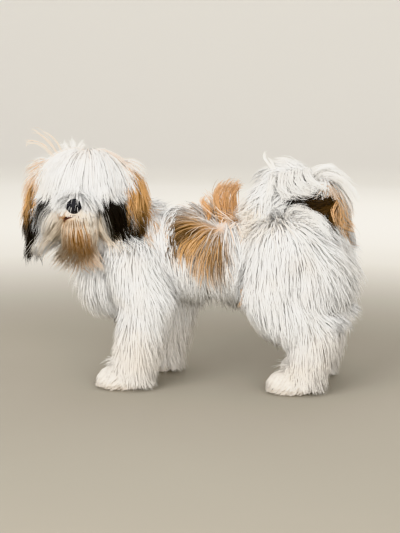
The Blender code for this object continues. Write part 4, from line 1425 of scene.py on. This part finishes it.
class DOG_OT_skin(bpy.types.Operator):
    """Fuse the body's forms into one skin that carries the coat"""

    bl_idname = "dog.skin"
    bl_label = "Skin"

    def execute(self, context):
        pieces = []
        for forms in FORMS.values():
            for form in forms:
                if form[0] == "ball":
                    pieces.append(add_ball(form[1], form[3], form[2]))
                else:
                    pieces += add_bone(*form[1:])
        piece = join(pieces, "skin")
        apply_modifier(piece, "REMESH", mode="VOXEL", voxel_size=context.scene.dog_sizes.skin_cell)
        apply_modifier(piece, "SMOOTH", factor=0.5, iterations=5)
        places = read_array(piece.data.vertices, "co", 3)
        places[:, 2] = np.maximum(places[:, 2], SOLE)
        piece.data.vertices.foreach_set("co", places.reshape(-1))
        activate(piece)
        bpy.ops.object.mode_set(mode="EDIT")
        bpy.ops.mesh.select_all(action="SELECT")
        bpy.ops.uv.smart_project(angle_limit=math.radians(66), island_margin=0.002)
        bpy.ops.object.mode_set(mode="OBJECT")
        piece.data.uv_layers.active.name = "OFBake"
        places = read_array(piece.data.vertices, "co", 3)
        paint(piece.data, "marks", marks_at(places, False))
        paint(piece.data, "strand", np.tile((0.3, 0.5, 0.5, 1.0), (len(places), 1)))
        middles = read_array(piece.data.polygons, "center", 3)
        near = [region_distance(middles, region) for region in REGIONS]
        regions = piece.data.attributes.new("region", "INT", "FACE")
        regions.data.foreach_set("value", np.argmin(near, axis=0).astype(np.int32))
        smooth(piece)
        finish_piece(piece, skin_material())
        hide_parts(*[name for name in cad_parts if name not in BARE_NODES])
        return {"FINISHED"}


class DOG_OT_coat(bpy.types.Operator):
    """Grow the long coat of the neck, body and legs"""

    bl_idname = "dog.coat"
    bl_label = "Body Coat"

    def execute(self, context):
        for region in REGIONS:
            if kind_of(region) not in ("head", "ear", "tail"):
                grow_coat("coat_" + region, region)
        return {"FINISHED"}


class DOG_OT_head_coat(bpy.types.Operator):
    """Grow the fringe, the beard and the hair of the ears"""

    bl_idname = "dog.head_coat"
    bl_label = "Head Coat"

    def execute(self, context):
        for region in ("head", "ear_left", "ear_right"):
            grow_coat("coat_" + region, region)
        return {"FINISHED"}


class DOG_OT_locks(bpy.types.Operator):
    """Lay the curls of the tail, the ruffled tufts of the back and the stray hair of the crown"""

    bl_idname = "dog.locks"
    bl_label = "Locks"

    def execute(self, context):
        skin = Skin(bpy.data.objects["skin"])
        middles = tree_of(skin.corners.mean(axis=1))
        for number, (name, locks) in enumerate(LOCKS.items()):
            rng = np.random.default_rng(SEED + 50 + number)
            pieces = []
            for mark, spread, count, places in locks:
                paths, outs = lock_paths(spread, count, places, rng)
                chart = skin.chart[[middles.find(point)[1] for point in paths[:, 0]], 0]
                widths = LOCK_WIDTH[name] * rng.uniform(0.7, 1.2, count)
                each = (paths, outs, widths, chart, paths[:, 0], np.zeros(count, int))
                pieces.append(strand_mesh("lock", *each, rng, mark))
            finish_piece(join(pieces, name), coat_material())
        return {"FINISHED"}


class DOG_OT_tail_coat(bpy.types.Operator):
    """Grow the plume of the tail"""

    bl_idname = "dog.tail_coat"
    bl_label = "Tail Coat"

    def execute(self, context):
        grow_coat("coat_tail", "tail")
        return {"FINISHED"}


# The nose's parts, each by its place from the middle of the nose and its radii
NOSE_PAD = ((0.0, 0.0, 0.0), (0.0066, 0.0080, 0.0082))
NOSE_WING = ((0.0010, 0.0046, -0.0004), (0.0044, 0.0040, 0.0042))
NOSTRIL = ((0.0054, 0.0036, -0.0006), (0.0030, 0.0013, 0.0017))
NOSTRIL_SLIT = ((0.0046, 0.0056, -0.0008), (0.0028, 0.0016, 0.0008))
NOSE_GROOVE = ((0.0068, 0.0, -0.0042), (0.0012, 0.0004, 0.0034))
NOSE_CELL = 0.00045
NOSTRIL_CELL = 0.00028


def nose_ball(part, side=1, **detail):
    """One part of the nose, on the dog's left with side 1 and on its right with side -1."""
    (forward, out, up), radii = part
    place = on_head(NOSE_PLACE[0] + forward, side * out, NOSE_PLACE[2] + up)
    return add_ball(place, radii, HEAD_NP, **detail)


class DOG_OT_nose(bpy.types.Operator):
    """Shape the nose leather with its wings and nostrils"""

    bl_idname = "dog.nose"
    bl_label = "Nose"

    def execute(self, context):
        pieces = [nose_ball(NOSE_PAD)] + [nose_ball(NOSE_WING, side) for side in (1, -1)]
        piece = join(pieces, "nose_pad")
        apply_modifier(piece, "REMESH", mode="VOXEL", voxel_size=NOSE_CELL)
        apply_modifier(piece, "SMOOTH", factor=0.5, iterations=4)
        coarse = {"segments": 24, "rings": 12}
        cuts = []
        for side in (1, -1):
            cuts += [nose_ball(part, side, **coarse) for part in (NOSTRIL, NOSTRIL_SLIT)]
        cuts.append(nose_ball(NOSE_GROOVE, **coarse))
        for cut in cuts:
            apply_modifier(piece, "BOOLEAN", operation="DIFFERENCE", object=cut, solver="MANIFOLD")
        for cut in cuts:
            bpy.data.objects.remove(cut)
        apply_modifier(piece, "REMESH", mode="VOXEL", voxel_size=NOSTRIL_CELL)
        if not piece.data.polygons:
            raise RuntimeError("the nostrils' cuts left no nose")
        apply_modifier(piece, "SMOOTH", factor=0.5, iterations=3)
        smooth(piece)
        finish_piece(piece, leather_material())
        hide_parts("nose")
        return {"FINISHED"}


# The lids are one squashed ring round each eye: its radius, thickness, height share and way out
LID_RADIUS = 0.0078
LID_THICKNESS = 0.0017
LID_SQUASH = 0.86
LID_OUT = 0.0054
# The eyeball's two balls as shares of its radius, and how far the cornea's middle stands out
GLOBE = 0.985
CORNEA = 0.72
CORNEA_OUT = 0.34
EYE_CELL = 0.0005


def add_lids(name, centre, way):
    """The lids of one eye, round the way that it looks."""
    deselect()
    bpy.ops.mesh.primitive_torus_add(
        major_radius=LID_RADIUS, minor_radius=LID_THICKNESS, major_segments=40, minor_segments=12,
        location=centre + way * LID_OUT, rotation=way.to_track_quat("Z", "Y").to_euler(),
    )
    lids = bpy.context.active_object
    lids.scale = (1.0, LID_SQUASH, 1.0)
    settle(lids, name)
    smooth(lids)
    return finish_piece(lids, leather_material())


class DOG_OT_eyes(bpy.types.Operator):
    """Shape the dark eyes with their corneas and lids"""

    bl_idname = "dog.eyes"
    bl_label = "Eyes"

    def execute(self, context):
        forward, out, up = EYE_PLACE
        for label, side in (("left", 1), ("right", -1)):
            way = (HEAD @ Vector((EYE_AXIS[0], side * EYE_AXIS[1], EYE_AXIS[2]))).normalized()
            centre = on_head(forward, side * out, up)
            axes = np.array(way.to_track_quat("Z", "Y").to_matrix())
            globe = add_ball(centre, (EYE_RADIUS * GLOBE,) * 3, axes, 48, 32)
            cornea = add_ball(centre + way * EYE_RADIUS * CORNEA_OUT, (EYE_RADIUS * CORNEA,) * 3, axes, 48, 32)
            piece = join([globe, cornea], "eyeball_" + label)
            apply_modifier(piece, "REMESH", mode="VOXEL", voxel_size=EYE_CELL)
            apply_modifier(piece, "SMOOTH", factor=0.5, iterations=6)
            places = np.array([vertex.co[:] for vertex in piece.data.vertices])
            gaze = unit(places - np.array(centre)) @ np.array(way)
            painted = piece.data.attributes.new("gaze", "FLOAT", "POINT")
            painted.data.foreach_set("value", np.clip(gaze, 0.0, 1.0))
            smooth(piece)
            finish_piece(piece, eye_material())
            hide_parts("eye_" + label)
            add_lids("lids_" + label, centre, way)
        return {"FINISHED"}


# Each lip's rise above the line of the mouth, and its thickness
LIPS = ((0.0007, 0.0011), (-0.0007, 0.0010))
LIP_SHARES = np.linspace(-1.0, 1.0, 25)


def mouth_place(share):
    """Where the line of the mouth runs on the skin, from the dog's right at -1 to its left at 1."""
    angle = MOUTH_TURN * share
    reach = np.linspace(0.0, 0.045, 181)
    way = np.array((math.cos(angle), math.sin(angle), 0.0))
    places = np.array((0.040, 0.0, mouth_height(share))) + way * reach[:, None]
    places = places @ HEAD_NP.T + np.array(HEAD_CENTRE)
    inside = np.nonzero(region_distance(places, "head") < 0.0)[0]
    return places[inside[-1]]


def add_lip(rise_by, thick):
    """One lip as a bevelled curve, full on the dog's right and thin in its middle and on its left."""
    curve = bpy.data.curves.new("lip", "CURVE")
    curve.dimensions = "3D"
    curve.bevel_depth = thick
    curve.bevel_resolution = 3
    curve.use_fill_caps = True
    spline = curve.splines.new("POLY")
    spline.points.add(len(LIP_SHARES) - 1)
    for share, point in zip(LIP_SHARES, spline.points):
        place = mouth_place(share)
        point.co = (place[0], place[1], place[2] + rise_by, 1.0)
        full = max(0.0, min(1.0, 2.0 - 2.0 * abs(share), -4.0 * share))
        point.radius = 0.25 + 0.75 * full
    drawn = bpy.data.objects.new("lip", curve)
    bpy.context.scene.collection.objects.link(drawn)
    activate(drawn)
    bpy.ops.object.convert(target="MESH")
    return bpy.context.active_object


class DOG_OT_lips(bpy.types.Operator):
    """Lay the lips along the meeting of the mouth"""

    bl_idname = "dog.lips"
    bl_label = "Lips"

    def execute(self, context):
        pieces = [add_lip(rise_by, thick) for rise_by, thick in LIPS]
        piece = join(pieces, "lips")
        smooth(piece)
        finish_piece(piece, lip_material())
        return {"FINISHED"}


CLAW_RADIUS = 0.0013
CLAW_TIP = 0.0004
CLAW_LENGTH = 0.0060
CLAW_TURNS = (-42, -14, 14, 42)


class DOG_OT_claws(bpy.types.Operator):
    """Set four short claws in each paw"""

    bl_idname = "dog.claws"
    bl_label = "Claws"

    def execute(self, context):
        for name, centre in paw_places().items():
            claws = []
            for turn in CLAW_TURNS:
                angle = math.radians(turn)
                way = Vector((-math.cos(angle), math.sin(angle), -0.42)).normalized()
                out = Vector((-math.cos(angle) * PAW[0], math.sin(angle) * PAW[1], -0.0035))
                place = centre + out * 0.97
                deselect()
                bpy.ops.mesh.primitive_cone_add(
                    vertices=12, radius1=CLAW_RADIUS, radius2=CLAW_TIP, depth=CLAW_LENGTH,
                    location=place + way * 0.0022, rotation=way.to_track_quat("Z", "Y").to_euler(),
                )
                claws.append(settle(bpy.context.active_object, "claw"))
            piece = join(claws, "claws_" + name)
            apply_modifier(piece, "SUBSURF", levels=1, render_levels=1)
            smooth(piece)
            finish_piece(piece, claw_material())
        return {"FINISHED"}


FLOOR = (9.0, 6.0)
WALL_HEIGHT = 4.0
WALL_BEND = 1.2
SKY_COLOUR = (0.97, 0.955, 0.935, 1.0)
LIGHTS = {"key": (-0.8, -1.5, 0.9), "fill": (0.5, -1.7, 0.42), "back": (0.3, 1.5, 1.2)}
LIGHT_SIZE = 1.2
LIGHT_AIM = (0.0, 0.0, 0.12)


def select_edges(mesh, wanted):
    """Selects the edges of a mesh in edit mode whose ends all pass a test."""
    shape = bmesh.from_edit_mesh(mesh)
    for edge in shape.edges:
        edge.select_set(all(wanted(vertex.co) for vertex in edge.verts))
    bmesh.update_edit_mesh(mesh)


def lay_floor():
    """A floor that bends up into a wall behind the dog."""
    deselect()
    bpy.ops.mesh.primitive_plane_add(size=1.0, location=(0.0, 0.0, 0.0))
    floor = bpy.context.active_object
    floor.scale = (*FLOOR, 1.0)
    settle(floor, "floor")
    bpy.ops.object.mode_set(mode="EDIT")
    bpy.ops.mesh.select_all(action="DESELECT")
    at_back = FLOOR[1] / 2 - 0.1
    select_edges(floor.data, lambda place: place.y > at_back)
    bpy.ops.mesh.extrude_region_move(TRANSFORM_OT_translate={"value": (0.0, 0.0, WALL_HEIGHT)})
    select_edges(floor.data, lambda place: place.y > at_back and place.z < 0.1)
    bpy.ops.mesh.bevel(offset=WALL_BEND, segments=16, affect="EDGES")
    bpy.ops.object.mode_set(mode="OBJECT")
    smooth(floor)
    floor.data.materials.append(stage_material())


def hang_lights(scene, stage):
    """A pale sky all round and three large lights that face the dog."""
    world = scene.world or bpy.data.worlds.new("surroundings")
    scene.world = world
    world.use_nodes = True
    sky = world.node_tree.nodes["Background"]
    sky.inputs["Color"].default_value = SKY_COLOUR
    sky.inputs["Strength"].default_value = stage.sky
    for name, place in LIGHTS.items():
        deselect()
        bpy.ops.object.light_add(type="AREA", location=place)
        light = bpy.context.active_object
        light.name = name
        light.data.size = LIGHT_SIZE
        light.visible_camera = False
        light.data.energy = getattr(stage, name)
        aim = Vector(LIGHT_AIM) - light.location
        light.rotation_euler = aim.to_track_quat("-Z", "Y").to_euler()


def set_camera(scene, stage):
    """The camera, turned to the middle of the dog."""
    back = Vector(camera_way(stage.azimuth, stage.elevation))
    deselect()
    bpy.ops.object.camera_add(location=at(*VIEW_MIDDLE) + back * stage.distance)
    camera = bpy.context.active_object
    camera.rotation_euler = (-back).to_track_quat("-Z", "Y").to_euler()
    camera.data.lens = stage.lens
    scene.camera = camera


class DOG_OT_stage(bpy.types.Operator):
    """Lay the floor, hang the lights and set the camera"""

    bl_idname = "dog.stage"
    bl_label = "Stage"

    def execute(self, context):
        stage = context.scene.dog_stage
        lay_floor()
        hang_lights(context.scene, stage)
        set_camera(context.scene, stage)
        context.scene.view_settings.view_transform = "Khronos PBR Neutral"
        return {"FINISHED"}


class DOG_PT_panel(bpy.types.Panel):
    """The settings and the steps, in the order they run"""

    bl_idname = "DOG_PT_panel"
    bl_label = "Shih Tzu"
    bl_space_type = "VIEW_3D"
    bl_region_type = "UI"
    bl_category = "Dog"

    def draw(self, context):
        layout = self.layout
        for group in ("dog_colours", "dog_sizes", "dog_stage"):
            settings = getattr(context.scene, group)
            box = layout.box()
            for name in settings.__annotations__:
                box.prop(settings, name)
        for operator in OPERATORS:
            layout.operator(operator.bl_idname)


GROUPS = (("dog_colours", DogColours), ("dog_sizes", DogSizes), ("dog_stage", DogStage))
OPERATORS = (
    DOG_OT_skin,
    DOG_OT_nose,
    DOG_OT_eyes,
    DOG_OT_lips,
    DOG_OT_claws,
    DOG_OT_coat,
    DOG_OT_head_coat,
    DOG_OT_locks,
    DOG_OT_tail_coat,
    DOG_OT_stage,
)
CLASSES = (*(group for _, group in GROUPS), *OPERATORS, DOG_PT_panel)


def register():
    for cls in CLASSES:
        bpy.utils.register_class(cls)
    for name, group in GROUPS:
        setattr(bpy.types.Scene, name, bpy.props.PointerProperty(type=group))


def unregister():
    for name, _ in GROUPS:
        delattr(bpy.types.Scene, name)
    for cls in reversed(CLASSES):
        bpy.utils.unregister_class(cls)


def main():
    register()
    bpy.ops.dog.skin()
    bpy.ops.dog.nose()
    bpy.ops.dog.eyes()
    bpy.ops.dog.lips()
    bpy.ops.dog.claws()
    bpy.ops.dog.coat()
    bpy.ops.dog.head_coat()
    bpy.ops.dog.locks()
    bpy.ops.dog.tail_coat()
    bpy.ops.dog.stage()


if __name__ == "__main__":
    main()
